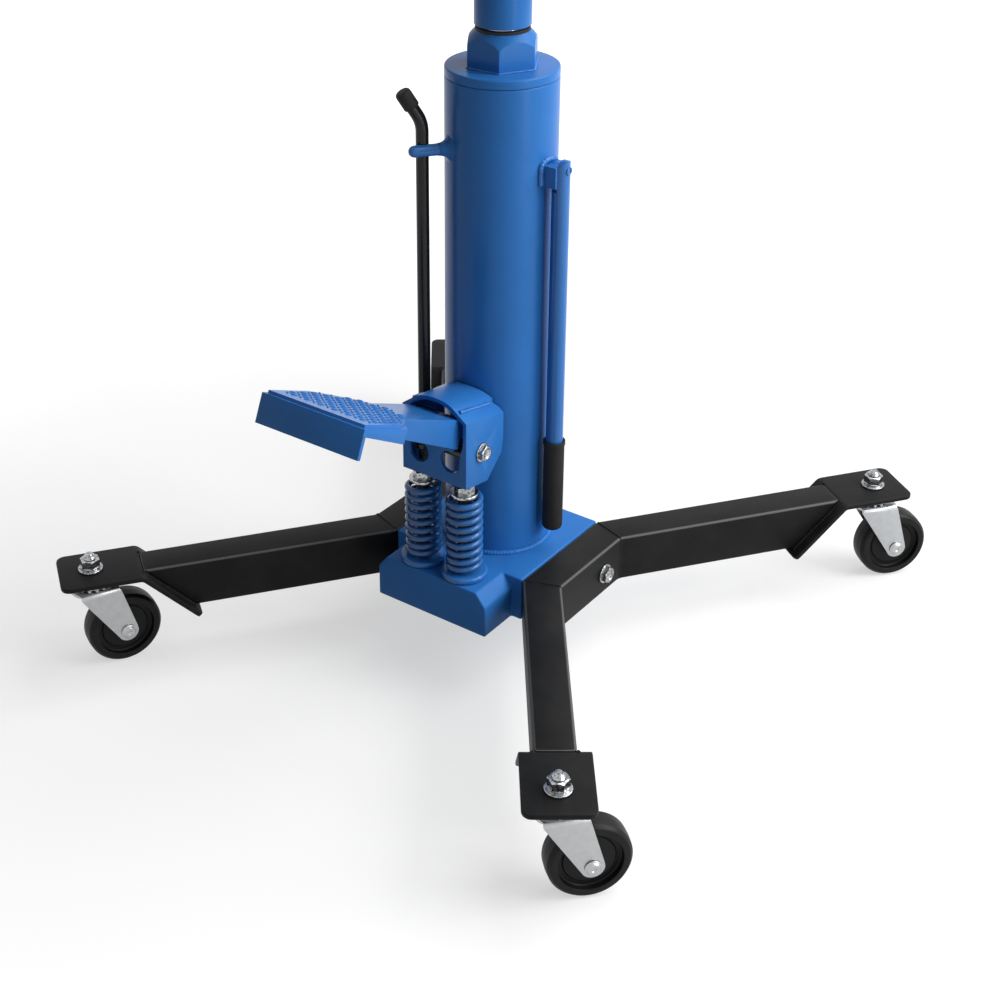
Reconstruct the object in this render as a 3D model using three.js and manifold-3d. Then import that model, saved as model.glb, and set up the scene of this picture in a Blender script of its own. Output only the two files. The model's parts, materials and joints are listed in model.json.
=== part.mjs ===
// Vertical hydraulic jack: two telescopic rams in a blue column, a foot pump on its base casting,
// a release rod, a hinged handle and two V-shaped leg frames on four swivel casters.
// Millimetres, +Z up. The origin is on the floor, under the axis of the column.
// The pedal points along -Y and the leg frames stand on the +X and -X sides.
import * as THREE from 'three';
import { mergeVertices } from 'three/addons/utils/BufferGeometryUtils.js';
import Module from 'manifold-3d';

const wasm = await Module();
wasm.setup();

// ---------------------------------------------------------------------------------------------
// Driving dimensions
// ---------------------------------------------------------------------------------------------
const GAP = 0.3; // standing clearance between pieces that touch
const SLIDE_GAP = 0.3; // clearance round what slides or turns
const DEGREE = Math.PI / 180;

// Casters
const WHEEL_RADIUS = 37.5;
const WHEEL_WIDTH = 26;
const WHEEL_TRAIL = 26.4;
const WHEEL_SIDE_GAP = 1.2;
const AXLE_RADIUS = 4;
const AXLE_HEAD_RADIUS = 7.5;
const AXLE_HEAD_HEIGHT = 3.2;
const FORK_SHEET = 3;
const FORK_EYE_RADIUS = 10.5;
const FORK_CROWN_RADIUS = 22;
const FORK_CROWN_FRONT = 16; // the crown reaches this far ahead of the stem
const FORK_CROWN_DROP = 13; // floor of the plate down to the top of the crown
const RACE_RADIUS = 23;
const RACE_HEIGHT = 8;
const STEM_RADIUS = 6;
const STEM_HEAD_RADIUS = 9.5;
const STEM_HEAD_HEIGHT = 6;
const STEM_STUD = 18; // stud above the caster plate
const STEM_WASHER_RADIUS = 12;
const STEM_WASHER_HEIGHT = 2.5;
const STEM_NUT_FLATS = 19;
const STEM_NUT_HEIGHT = 10;

// Where the four casters stand, and the way each one trails at rest
const CASTER_X = 271.5;
const CASTER_Y = 299;
const CASTER_HEIGHT = 104; // floor to the underside of a caster plate
const CASTERS = [
  { name: 'front_right', side: 1, end: -1, trail: 49 },
  { name: 'rear_right', side: 1, end: 1, trail: 50 },
  { name: 'front_left', side: -1, end: -1, trail: 66 },
  { name: 'rear_left', side: -1, end: 1, trail: 57 },
];

// Caster plates: a flat top, and a flap that closes the slanting end of the leg
const PLATE_SHEET = 4.8;
const PLATE_WIDTH = 62;
const PLATE_CORNER = 9;
const PLATE_OUTER = 31; // stem to the outer edge
const PLATE_INNER = 47; // stem to the bend
const FLAP_ANGLE = 45 * DEGREE;
const FLAP_LENGTH = 76;

// Leg frames: rectangular tube, bent twice
const LEG_WIDTH = 37;
const LEG_HEIGHT = 49.3;
const LEG_WALL = 3;
const LEG_BEND_Y = 59.8; // the bends, ahead of and behind the column

// Base casting
const BASE_HALF_WIDTH = 75.8;
const BASE_HALF_LENGTH = 67;
const BASE_HEIGHT = 46.4;
const NOSE_HALF_WIDTH = 64.5;
const NOSE_REACH = 111.8;
const NOSE_CHAMFER_ACROSS = 11;
const NOSE_CHAMFER_DOWN = 13.6;
const LEG_BOLT_Y = 23.5;
const LEG_BOLT_DROP = 25.3; // leg top down to the bolt
const LEG_BOLT_RADIUS = 6;
const LEG_BOLT_FLATS = 15;
const LEG_BOLT_HEAD = 5;
const LEG_WASHER_RADIUS = 10;
const LEG_WASHER_HEIGHT = 2;
const LEG_BOLT_DEPTH = 26; // thread in the casting
const FILLER_RADIUS = 9;

// Column and rams
const COLUMN_RADIUS = 52.2;
const COLUMN_WALL = 4.5;
const COLUMN_TOP = 590.8; // floor to the top of the column head
const HEAD_HEIGHT = 8.5;
const CYLINDER_RADIUS = 33;
const CYLINDER_WALL = 5;
const GLAND_FLATS = 60;
const GLAND_HEX = 22;
const GLAND_DOME = 10;
const GLAND_SPIGOT_RADIUS = 26.5;
const GLAND_SPIGOT = 20;
const RAM_1_RADIUS = 22;
const RAM_1_WALL = 5;
const RAM_1_FOOT = 24; // base top to the underside of the first piston
const PISTON_HEIGHT = 22;
const COLLAR_RADIUS = 25.75;
const COLLAR_HEIGHT = 32;
const COLLAR_STAND_OFF = 4.5; // ram left bare between gland and collar
const COLLAR_SOCKET = 16; // ram 1 reaches this far into its collar
const RAM_2_RADIUS = 15;
const RAM_2_FOOT = 26; // above the top of the first piston
const RAM_2_HEAD_RADIUS = 21;
const RAM_2_HEAD_HEIGHT = 14;
const SADDLE_STEM_RADIUS = 8;
const SADDLE_STEM_LENGTH = 40;
const SADDLE_RADIUS = 55;
const SADDLE_HEIGHT = 16;
const SADDLE_RIM = 6;
const SADDLE_RECESS = 6;
const PAD_HEIGHT = 11;

// Pump
const PLUNGER_X = 24.5;
const PLUNGER_Y = -90;
const PLUNGER_RADIUS = 6;
const PLUNGER_NECK_RADIUS = 4; // between the retaining nut and the head
const PLUNGER_HEAD_HEIGHT = 5;
const PLUNGER_DEPTH = 24; // into the casting at rest
const PUMP_STROKE = 5; // room below it for the stroke
const BARREL_RADIUS = 22.5;
const BARREL_HEIGHT = 6;
const SPRING_RADIUS = 18.2; // outside of the coil
const SPRING_WIRE_RADIUS = 3.5;
const SPRING_HEIGHT = 82;
const SPRING_TURNS = 9;
const RETAINER_RADIUS = 13.5;
const RETAINER_HEIGHT = 3;
const RETAINER_NUT_FLATS = 17;
const RETAINER_NUT_HEIGHT = 8;
const PIVOT_Y = -80;
const PIVOT_HEIGHT = 133.7; // above the base top
const PIVOT_RADIUS = 5;
const PIVOT_HEAD_FLATS = 14;
const PIVOT_HEAD = 4.5;
const PIVOT_CLIP = 3;
const PIVOT_WASHER_RADIUS = 9.5;
const PIVOT_WASHER_HEIGHT = 1.6;
const LUG_HALF_WIDTH = 12;
const LUG_RADIUS = 8.5;
const PUSH_PIN_RADIUS = 4.5;
const PUSH_PIN_REACH = 13.6; // push pin ahead of the pivot
const ROCKER_HALF_WIDTH = 37;
const ROCKER_SHEET = 4;
const ROCKER_FRONT = 24.5; // front plate ahead of the pivot
const ROCKER_FOOT = 29.5; // foot of the front plate below the pivot
const ROCKER_TOP = 39.6; // shoulder of the front plate above the pivot
const ROCKER_SHOULDER_SLOPE = 12 * DEGREE;
const ROCKER_BACK = 35; // back edge of the cheeks behind the pivot
const ROCKER_BACK_DROP = 14.5; // its lower end below the pivot
const ROCKER_BELLY = 9.5; // lowest point of the cheeks behind the pivot
const ROCKER_BELLY_DROP = 5.5; // and below the foot
const ROCKER_ROOF_HALF = 26;
const ROCKER_ROOF_RISE = 8; // edge of the roof above its shoulders
const ROCKER_ARCH = 16.5; // crown of the roof above its shoulders
const ROCKER_ROOF_SLOPE = 8 * DEGREE;
const ROCKER_CLEAR = 2.5; // roof to the column
const ROCKER_HOLE_X = 18;
const ROCKER_HOLE_RADIUS = 11.5;
const ROCKER_HOLE_DROP = 5.8;
const SILL_HEIGHT = 9.3; // floor of the mouth above the pivot
const PEDAL_SLOPE = 23.8 * DEGREE;
const PEDAL_SHEET = 4;
const PEDAL_HEEL_HEIGHT = 41.2; // top of the neck above the pivot, at the mouth of the rocker
const PEDAL_HEEL_DEPTH = 13; // the neck reaches this far through the mouth
const PEDAL_NECK_HALF = 27;
const PEDAL_NECK_DEPTH = 27;
const PEDAL_NECK_LENGTH = 88;
const PEDAL_HALF_WIDTH = 56.5;
const PEDAL_WIDE_FROM = 121;
const PEDAL_LENGTH = 183;
const PEDAL_RIM_DEPTH = 6.5;
const PEDAL_LIP = 27;
const TREAD_HEIGHT = 3;
const TREAD_INSET = 3.5;
const TREAD_FROM = 74;

// Release valve and rod
const ROD_X = -46;
const ROD_Y = -58.6;
const ROD_RADIUS = 6;
const ROD_STRAIGHT = 434; // base top to the bend
const ROD_BEND = 31.5 * DEGREE;
const ROD_TIP = 33;
const ROD_CAP_RADIUS = 7.2;
const ROD_CAP_LENGTH = 17.5;
const ROD_CAP_WALL = 2;
const VALVE_RADIUS = 9;
const VALVE_FLATS = 22;
const VALVE_DEPTH = 20;
const VALVE_COLLAR = 9;
const GUIDE_HEIGHT = 409; // base top to the middle of the guide
const GUIDE_RADIUS = 5.6;
const GUIDE_OFFSET = 6; // axis of the guide beside the axis of the rod
const GUIDE_REACH = 14.5; // tip of the guide beyond the axis of the rod
const GUIDE_BORE_GAP = 0.8;

// Handle
const HANDLE_X = 65.5;
const HANDLE_RADIUS = 8.5;
const HANDLE_PIVOT_HEIGHT = 396.2; // above the base top
const HANDLE_PIN_RADIUS = 4;
const HANDLE_PIN_END = 0.6; // left standing out of the bar
const HANDLE_TONGUE = 7; // thickness of the flattened end
const HANDLE_EYE_RADIUS = 9.5;
const HANDLE_LUG_HALF = 11;
const HANDLE_LUG_RISE = 4;
const HANDLE_LUG_DROP = 16;
const HANDLE_SWING = 1; // shoulder of the bar to the corners of the lug
const GRIP_CLEAR = 22.5; // base top to the foot of the grip
const GRIP_LENGTH = 98;
const GRIP_RADIUS = 10;
const GRIP_END = 6;

// Facets
const ROUND_LARGE = 40;
const ROUND_MEDIUM = 28;
const ROUND_SMALL = 16;
const COIL_SIDES = 6;
const COIL_STEPS_PER_TURN = 12;

// ---------------------------------------------------------------------------------------------
// Derived levels
// ---------------------------------------------------------------------------------------------
const LEG_TOP = CASTER_HEIGHT + PLATE_SHEET;
const BASE_TOP = LEG_TOP;
const BASE_BOTTOM = BASE_TOP - BASE_HEIGHT;
const COLUMN_FOOT = BASE_TOP + GAP;
const HEAD_BOTTOM = COLUMN_TOP - HEAD_HEIGHT;
const GLAND_TOP = COLUMN_TOP + GAP + GLAND_HEX + GLAND_DOME;
const COLLAR_BOTTOM = GLAND_TOP + COLLAR_STAND_OFF;
const COLLAR_TOP = COLLAR_BOTTOM + COLLAR_HEIGHT;
const PISTON_1_BOTTOM = BASE_TOP + RAM_1_FOOT;
const RAM_1_BOTTOM = PISTON_1_BOTTOM + PISTON_HEIGHT + GAP;
const RAM_1_TOP = COLLAR_BOTTOM + COLLAR_SOCKET - GAP;
const PISTON_2_BOTTOM = RAM_1_BOTTOM + RAM_2_FOOT;
const RAM_2_BOTTOM = PISTON_2_BOTTOM + PISTON_HEIGHT + GAP;
const RAM_2_HEAD_BOTTOM = COLLAR_TOP + GAP;
const RAM_2_TOP = RAM_2_HEAD_BOTTOM + RAM_2_HEAD_HEIGHT;
const SADDLE_BOTTOM = RAM_2_TOP + GAP;
const SADDLE_TOP = SADDLE_BOTTOM + SADDLE_HEIGHT;
const PIVOT_Z = BASE_TOP + PIVOT_HEIGHT;
const PUSH_PIN_Y = PIVOT_Y - PUSH_PIN_REACH;
const BARREL_TOP = BASE_TOP + GAP + BARREL_HEIGHT;
const SPRING_TOP = BARREL_TOP + GAP + SPRING_HEIGHT;
const PLUNGER_TOP = PIVOT_Z - PUSH_PIN_RADIUS - GAP;
const ROCKER_Y = PIVOT_Y - ROCKER_FRONT;
const HANDLE_PIVOT_Z = BASE_TOP + HANDLE_PIVOT_HEIGHT;
const HANDLE_OUTSIDE = HANDLE_X + HANDLE_RADIUS;
const HANDLE_TONGUE_INSIDE = HANDLE_OUTSIDE - HANDLE_TONGUE;
const GRIP_BOTTOM = BASE_TOP + GRIP_CLEAR;
const LEG_CENTRE_X = BASE_HALF_WIDTH + GAP + LEG_WIDTH / 2;
const LEG_BOLT_Z = LEG_TOP - LEG_BOLT_DROP;
const FORK_TOP = CASTER_HEIGHT - FORK_CROWN_DROP;
const FORK_HALF_GAP = WHEEL_WIDTH / 2 + WHEEL_SIDE_GAP;

// ---------------------------------------------------------------------------------------------
// Finishes
// ---------------------------------------------------------------------------------------------
const FINISHES = {
  blue: { color: 0x1f5fae, roughness: 0.35, metalness: 0.1 },
  black: { color: 0x262626, roughness: 0.55, metalness: 0.1 },
  zinc: { color: 0xb9bcc0, roughness: 0.35, metalness: 0.9 },
  steel: { color: 0x8d9094, roughness: 0.3, metalness: 0.95 },
  chrome: { color: 0xd5d8dc, roughness: 0.08, metalness: 1 },
  brass: { color: 0xb08d57, roughness: 0.35, metalness: 1 },
  rubber: { color: 0x151515, roughness: 0.85, metalness: 0 },
  wheel: { color: 0x1b1b1d, roughness: 0.6, metalness: 0 },
};

function mesh(name, geometry, finish) {
  const material = new THREE.MeshStandardMaterial(FINISHES[finish]);
  const result = new THREE.Mesh(geometry, material);
  result.name = name;
  return result;
}

// ---------------------------------------------------------------------------------------------
// Solids
// ---------------------------------------------------------------------------------------------

// A closed solid from a three.js geometry
function solid(geometry) {
  const bare = geometry.index ? geometry.clone() : geometry;
  bare.deleteAttribute('normal');
  bare.deleteAttribute('uv');
  const merged = mergeVertices(bare, 1e-4);
  const corners = merged.getAttribute('position').array;
  return new wasm.Manifold(new wasm.Mesh({
    numProp: 3,
    vertProperties: new Float32Array(corners),
    triVerts: new Uint32Array(merged.index.array),
  }));
}

// A three.js geometry from a solid
function surface(body) {
  const { vertProperties, triVerts } = body.getMesh();
  const geometry = new THREE.BufferGeometry();
  geometry.setAttribute('position', new THREE.BufferAttribute(vertProperties, 3));
  geometry.setIndex(new THREE.BufferAttribute(triVerts, 1));
  geometry.computeVertexNormals();
  return geometry;
}

function join(...bodies) {
  return bodies.reduce((whole, body) => whole.add(body));
}

function cut(body, ...tools) {
  return tools.reduce((left, tool) => left.subtract(tool), body);
}

// Box between two corners
function box([x0, y0, z0], [x1, y1, z1]) {
  const geometry = new THREE.BoxGeometry(x1 - x0, y1 - y0, z1 - z0);
  geometry.translate((x0 + x1) / 2, (y0 + y1) / 2, (z0 + z1) / 2);
  return geometry;
}

// Cylinder or cone between two points, with a flat side facing across
function bar(from, to, radius, sides = ROUND_SMALL, endRadius = radius) {
  const start = new THREE.Vector3(...from);
  const end = new THREE.Vector3(...to);
  const along = end.clone().sub(start);
  const geometry = new THREE.CylinderGeometry(endRadius, radius, along.length(), sides);
  geometry.rotateY(Math.PI / sides);
  const turn = new THREE.Quaternion();
  turn.setFromUnitVectors(new THREE.Vector3(0, 1, 0), along.clone().normalize());
  geometry.applyQuaternion(turn);
  const middle = start.add(end).multiplyScalar(0.5);
  geometry.translate(middle.x, middle.y, middle.z);
  return geometry;
}

// Hexagonal prism between two points, by its size across flats
function hexagon(from, to, flats) {
  return bar(from, to, flats / Math.sqrt(3), 6);
}

// Turned about +Z: profile points are [radius, height], on the axis at both ends or closed
function turned(profile, sides = ROUND_MEDIUM) {
  const points = profile.map(([radius, height]) => new THREE.Vector2(radius, height));
  const geometry = new THREE.LatheGeometry(points, sides);
  geometry.rotateX(Math.PI / 2);
  return geometry;
}

// Hollow cylinder about +Z
function tube(outer, inner, bottom, top, sides = ROUND_LARGE) {
  const profile = [[inner, bottom], [outer, bottom], [outer, top], [inner, top], [inner, bottom]];
  return turned(profile, sides);
}

function outline(points) {
  return new THREE.Shape(points.map(([u, v]) => new THREE.Vector2(u, v)));
}

// Prism of a plan outline, from one height to another
function upright(shape, bottom, top, curveSegments = 8) {
  const settings = { depth: top - bottom, bevelEnabled: false, curveSegments };
  const geometry = new THREE.ExtrudeGeometry(shape, settings);
  geometry.translate(0, 0, bottom);
  return geometry;
}

// Prism of an outline drawn in Y and Z, from one X to another
function sideways(shape, x0, x1, curveSegments = 8) {
  const geometry = upright(shape, x0, x1, curveSegments);
  const toYZ = new THREE.Matrix4().makeBasis(
    new THREE.Vector3(0, 1, 0), new THREE.Vector3(0, 0, 1), new THREE.Vector3(1, 0, 0));
  geometry.applyMatrix4(toYZ);
  return geometry;
}

// Prism of an outline drawn in X and Z, from one Y to another
function lengthways(shape, y0, y1, curveSegments = 8) {
  const geometry = upright(shape, -y1, -y0, curveSegments);
  geometry.rotateX(Math.PI / 2);
  return geometry;
}

// ---------------------------------------------------------------------------------------------
// Casters: each one is drawn about its own stem, trailing along +X
// ---------------------------------------------------------------------------------------------
function casterWheel() {
  const half = WHEEL_WIDTH / 2;
  const rim = WHEEL_RADIUS / Math.cos(Math.PI / ROUND_MEDIUM);
  const hub = AXLE_RADIUS * 2.7;
  const bore = AXLE_RADIUS + SLIDE_GAP;
  const web = half * 0.45;
  const tyre = WHEEL_RADIUS * 0.76;
  const shoulder = half * 0.28;
  const geometry = turned([
    [bore, -half], [hub, -half], [hub, -web], [tyre, -web], [tyre, -half + 1],
    [rim - shoulder, -half + 1], [rim, -half + shoulder], [rim, half - shoulder],
    [rim - shoulder, half - 1], [tyre, half - 1], [tyre, web], [hub, web], [hub, half],
    [bore, half], [bore, -half],
  ], ROUND_MEDIUM);
  geometry.rotateZ(Math.PI / ROUND_MEDIUM);
  geometry.rotateX(Math.PI / 2);
  geometry.translate(WHEEL_TRAIL, 0, WHEEL_RADIUS);
  return geometry;
}

function casterAxle() {
  const head = FORK_HALF_GAP + FORK_SHEET + GAP;
  const tip = head + AXLE_HEAD_HEIGHT;
  const flat = AXLE_HEAD_RADIUS * 0.6;
  const geometry = turned([
    [0, -tip], [flat, -tip], [AXLE_HEAD_RADIUS, -head], [AXLE_RADIUS, -head],
    [AXLE_RADIUS, head], [AXLE_HEAD_RADIUS, head], [flat, tip], [0, tip],
  ], ROUND_SMALL);
  geometry.rotateX(Math.PI / 2);
  geometry.translate(WHEEL_TRAIL, 0, WHEEL_RADIUS);
  return geometry;
}

function casterFork() {
  const side = new THREE.Shape();
  const lean = 0.42;
  side.moveTo(-FORK_CROWN_FRONT, FORK_TOP);
  side.lineTo(-FORK_CROWN_FRONT, FORK_TOP - FORK_SHEET * 2);
  side.absarc(WHEEL_TRAIL, WHEEL_RADIUS, FORK_EYE_RADIUS, Math.PI + lean, lean / 2, false);
  side.lineTo(FORK_CROWN_RADIUS, FORK_TOP);
  // Draw the side in the XZ plane, then cut the space for the wheel and the stem
  const outer = FORK_HALF_GAP + FORK_SHEET;
  const block = solid(lengthways(side, -outer, outer));
  const crown = solid(turned([
    [0, FORK_TOP - FORK_SHEET], [FORK_CROWN_RADIUS, FORK_TOP - FORK_SHEET],
    [FORK_CROWN_RADIUS, FORK_TOP], [0, FORK_TOP],
  ]));
  const far = WHEEL_TRAIL + WHEEL_RADIUS + FORK_EYE_RADIUS;
  const room = solid(box([-far, -FORK_HALF_GAP, 0], [far, FORK_HALF_GAP, FORK_TOP - FORK_SHEET]));
  const bore = STEM_RADIUS + SLIDE_GAP;
  const stemHole = solid(bar([0, 0, 0], [0, 0, CASTER_HEIGHT], bore));
  const pin = AXLE_RADIUS + SLIDE_GAP;
  const pinHole = solid(bar([WHEEL_TRAIL, -far, WHEEL_RADIUS], [WHEEL_TRAIL, far, WHEEL_RADIUS], pin));
  return surface(cut(join(block, crown), room, stemHole, pinHole));
}

// Bolt, ball race, washer and nut that hold the fork to its plate
function casterStem() {
  const headTop = FORK_TOP - FORK_SHEET - GAP;
  const raceBottom = CASTER_HEIGHT - GAP - RACE_HEIGHT;
  const raceTop = CASTER_HEIGHT - GAP;
  const seat = LEG_TOP + GAP;
  const nutTop = seat + STEM_WASHER_HEIGHT + STEM_NUT_HEIGHT;
  const shaft = solid(turned([
    [0, headTop - STEM_HEAD_HEIGHT], [STEM_HEAD_RADIUS, headTop - STEM_HEAD_HEIGHT],
    [STEM_HEAD_RADIUS, headTop], [STEM_RADIUS, headTop], [STEM_RADIUS, raceBottom],
    [RACE_RADIUS - 2, raceBottom], [RACE_RADIUS, raceBottom + 2], [RACE_RADIUS, raceTop],
    [STEM_RADIUS, raceTop], [STEM_RADIUS, seat], [STEM_WASHER_RADIUS, seat],
    [STEM_WASHER_RADIUS, seat + STEM_WASHER_HEIGHT], [STEM_RADIUS, seat + STEM_WASHER_HEIGHT],
    [STEM_RADIUS, LEG_TOP + STEM_STUD - 1], [STEM_RADIUS - 1, LEG_TOP + STEM_STUD],
    [0, LEG_TOP + STEM_STUD],
  ], ROUND_SMALL));
  const nut = solid(hexagon([0, 0, seat + STEM_WASHER_HEIGHT - 0.5], [0, 0, nutTop], STEM_NUT_FLATS));
  return surface(join(shaft, nut));
}

function caster({ name, side, end, trail }) {
  const fixed = new THREE.Group();
  fixed.position.set(side * CASTER_X, end * CASTER_Y, 0);
  fixed.add(mesh(`caster_stem_${name}`, casterStem(), 'zinc'));
  const swivel = new THREE.Group();
  swivel.rotation.z = trail * DEGREE;
  swivel.add(mesh(`caster_fork_${name}`, casterFork(), 'zinc'));
  swivel.add(mesh(`caster_axle_${name}`, casterAxle(), 'zinc'));
  swivel.add(mesh(`caster_wheel_${name}`, casterWheel(), 'wheel'));
  fixed.add(swivel);
  return fixed;
}

// ---------------------------------------------------------------------------------------------
// Legs
// ---------------------------------------------------------------------------------------------

// The way a leg runs from its caster to its bend, on the +X side with its end forward or back
function legDirection(side, end) {
  const dx = side * (LEG_CENTRE_X - CASTER_X);
  const dy = end * (LEG_BEND_Y - CASTER_Y);
  return Math.atan2(dy, dx);
}

// Bent strip on the end of a leg: drawn with +X along the leg, from the stem to the bend
function casterPlate() {
  const half = PLATE_WIDTH / 2;
  const plan = new THREE.Shape();
  plan.moveTo(PLATE_INNER, -half);
  plan.lineTo(PLATE_INNER, half);
  plan.lineTo(-PLATE_OUTER + PLATE_CORNER, half);
  plan.quadraticCurveTo(-PLATE_OUTER, half, -PLATE_OUTER, half - PLATE_CORNER);
  plan.lineTo(-PLATE_OUTER, -half + PLATE_CORNER);
  plan.quadraticCurveTo(-PLATE_OUTER, -half, -PLATE_OUTER + PLATE_CORNER, -half);
  const top = solid(upright(plan, CASTER_HEIGHT, LEG_TOP, 4));
  const run = FLAP_LENGTH * Math.cos(FLAP_ANGLE);
  const drop = FLAP_LENGTH * Math.sin(FLAP_ANGLE);
  const thick = PLATE_SHEET / Math.cos(FLAP_ANGLE);
  const slope = outline([
    [PLATE_INNER, LEG_TOP], [PLATE_INNER - PLATE_SHEET, LEG_TOP], [PLATE_INNER - PLATE_SHEET, CASTER_HEIGHT],
    [PLATE_INNER + PLATE_SHEET - thick, CASTER_HEIGHT],
    [PLATE_INNER + run - thick, LEG_TOP - drop], [PLATE_INNER + run, LEG_TOP - drop],
  ]);
  const flap = solid(lengthways(slope, -half, half));
  const bore = solid(bar([0, 0, 0], [0, 0, LEG_TOP + 1], STEM_RADIUS + GAP));
  return surface(cut(join(top, flap), bore));
}

function casterPlateAt({ name, side, end }) {
  const plate = mesh(`caster_plate_${name}`, casterPlate(), 'black');
  plate.position.set(side * CASTER_X, end * CASTER_Y, 0);
  plate.rotation.z = legDirection(side, end);
  return plate;
}

// Plan outline of a V-shaped frame: the middle run along the base and the two legs
function framePlan(side, halfWidth) {
  const bend = new THREE.Vector2(LEG_CENTRE_X, LEG_BEND_Y);
  const stem = new THREE.Vector2(CASTER_X, CASTER_Y);
  const direction = stem.clone().sub(bend).normalize();
  const across = new THREE.Vector2(direction.y, -direction.x);
  const turn = Math.PI / 2 - Math.atan2(direction.y, direction.x);
  const shift = halfWidth * Math.tan(turn / 2);
  const outerBend = [bend.x + halfWidth, bend.y - shift];
  const innerBend = [bend.x - halfWidth, bend.y + shift];
  const outerEnd = stem.clone().addScaledVector(across, halfWidth).toArray();
  const innerEnd = stem.clone().addScaledVector(across, -halfWidth).toArray();
  const rear = [outerBend, outerEnd, innerEnd, innerBend];
  const front = rear.map(([x, y]) => [x, -y]).reverse();
  const whole = [...rear, ...front].map(([x, y]) => [side * x, y]);
  return outline(side > 0 ? whole : whole.reverse());
}

function legFrame(side) {
  const bottom = LEG_TOP - LEG_HEIGHT;
  const outside = solid(upright(framePlan(side, LEG_WIDTH / 2), bottom, LEG_TOP));
  const inner = LEG_WIDTH / 2 - LEG_WALL;
  const inside = solid(upright(framePlan(side, inner), bottom + LEG_WALL, LEG_TOP - LEG_WALL));
  let frame = cut(outside, inside);
  // The slanting ends, parallel to the flaps that close them
  const above = LEG_TOP + PLATE_SHEET;
  const below = bottom - PLATE_SHEET;
  const fall = 1 / Math.tan(FLAP_ANGLE);
  const start = PLATE_INNER + GAP / Math.sin(FLAP_ANGLE);
  const wedge = outline([
    [-LEG_WIDTH * 2, above], [-LEG_WIDTH * 2, below],
    [start + (LEG_TOP - below) * fall, below], [start - (above - LEG_TOP) * fall, above],
  ]);
  for (const end of [-1, 1]) {
    const slice = lengthways(wedge, -PLATE_WIDTH, PLATE_WIDTH);
    slice.rotateZ(legDirection(side, end));
    slice.translate(side * CASTER_X, end * CASTER_Y, 0);
    frame = cut(frame, solid(slice));
  }
  const near = side * BASE_HALF_WIDTH;
  const far = side * (BASE_HALF_WIDTH + LEG_WIDTH + 2);
  const hole = bar(
    [near, LEG_BOLT_Y, LEG_BOLT_Z], [far, LEG_BOLT_Y, LEG_BOLT_Z], LEG_BOLT_RADIUS + GAP);
  return surface(cut(frame, solid(hole)));
}

function legBolt(side) {
  const y = LEG_BOLT_Y;
  const z = LEG_BOLT_Z;
  const seat = BASE_HALF_WIDTH + LEG_WIDTH + 2 * GAP;
  const tip = BASE_HALF_WIDTH - LEG_BOLT_DEPTH + GAP;
  const washerTop = seat + LEG_WASHER_HEIGHT;
  const headTop = washerTop + LEG_BOLT_HEAD;
  const shank = solid(bar([side * tip, y, z], [side * washerTop, y, z], LEG_BOLT_RADIUS - GAP));
  const washer = solid(bar([side * seat, y, z], [side * washerTop, y, z], LEG_WASHER_RADIUS));
  const head = solid(hexagon([side * (washerTop - 0.5), y, z], [side * headTop, y, z], LEG_BOLT_FLATS));
  return surface(join(shank, washer, head));
}

// ---------------------------------------------------------------------------------------------
// Base casting
// ---------------------------------------------------------------------------------------------
function baseCasting() {
  const body = solid(box(
    [-BASE_HALF_WIDTH, -BASE_HALF_LENGTH, BASE_BOTTOM], [BASE_HALF_WIDTH, BASE_HALF_LENGTH, BASE_TOP]));
  const shoulder = BASE_TOP - NOSE_CHAMFER_DOWN;
  const flat = NOSE_HALF_WIDTH - NOSE_CHAMFER_ACROSS;
  const section = outline([
    [-NOSE_HALF_WIDTH, BASE_BOTTOM], [NOSE_HALF_WIDTH, BASE_BOTTOM], [NOSE_HALF_WIDTH, shoulder],
    [flat, BASE_TOP], [-flat, BASE_TOP], [-NOSE_HALF_WIDTH, shoulder],
  ]);
  const nose = solid(lengthways(section, -NOSE_REACH, 0));
  let casting = join(body, nose);
  for (const side of [-1, 1]) {
    const near = side * (BASE_HALF_WIDTH - LEG_BOLT_DEPTH);
    const far = side * (BASE_HALF_WIDTH + 1);
    casting = cut(casting, solid(bar(
      [near, LEG_BOLT_Y, LEG_BOLT_Z], [far, LEG_BOLT_Y, LEG_BOLT_Z], LEG_BOLT_RADIUS)));
    const x = side * PLUNGER_X;
    const well = PLUNGER_DEPTH + PUMP_STROKE + GAP;
    casting = cut(casting, solid(bar(
      [x, PLUNGER_Y, BASE_TOP - well], [x, PLUNGER_Y, BASE_TOP + 1], PLUNGER_RADIUS + SLIDE_GAP)));
  }
  const valve = solid(bar(
    [ROD_X, ROD_Y, BASE_TOP - VALVE_DEPTH - GAP], [ROD_X, ROD_Y, BASE_TOP + 1], VALVE_RADIUS + SLIDE_GAP));
  return surface(cut(casting, valve));
}

function fillerPlug() {
  const y = BASE_HALF_LENGTH + GAP;
  const z = BASE_BOTTOM + BASE_HEIGHT / 2;
  const flange = solid(bar([0, y, z], [0, y + 3, z], FILLER_RADIUS));
  const head = solid(hexagon([0, y + 2.5, z], [0, y + 8, z], FILLER_RADIUS * 1.35));
  return surface(join(flange, head));
}

// ---------------------------------------------------------------------------------------------
// Column and rams
// ---------------------------------------------------------------------------------------------
function columnTube() {
  return tube(COLUMN_RADIUS, COLUMN_RADIUS - COLUMN_WALL, COLUMN_FOOT, HEAD_BOTTOM - GAP);
}

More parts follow.
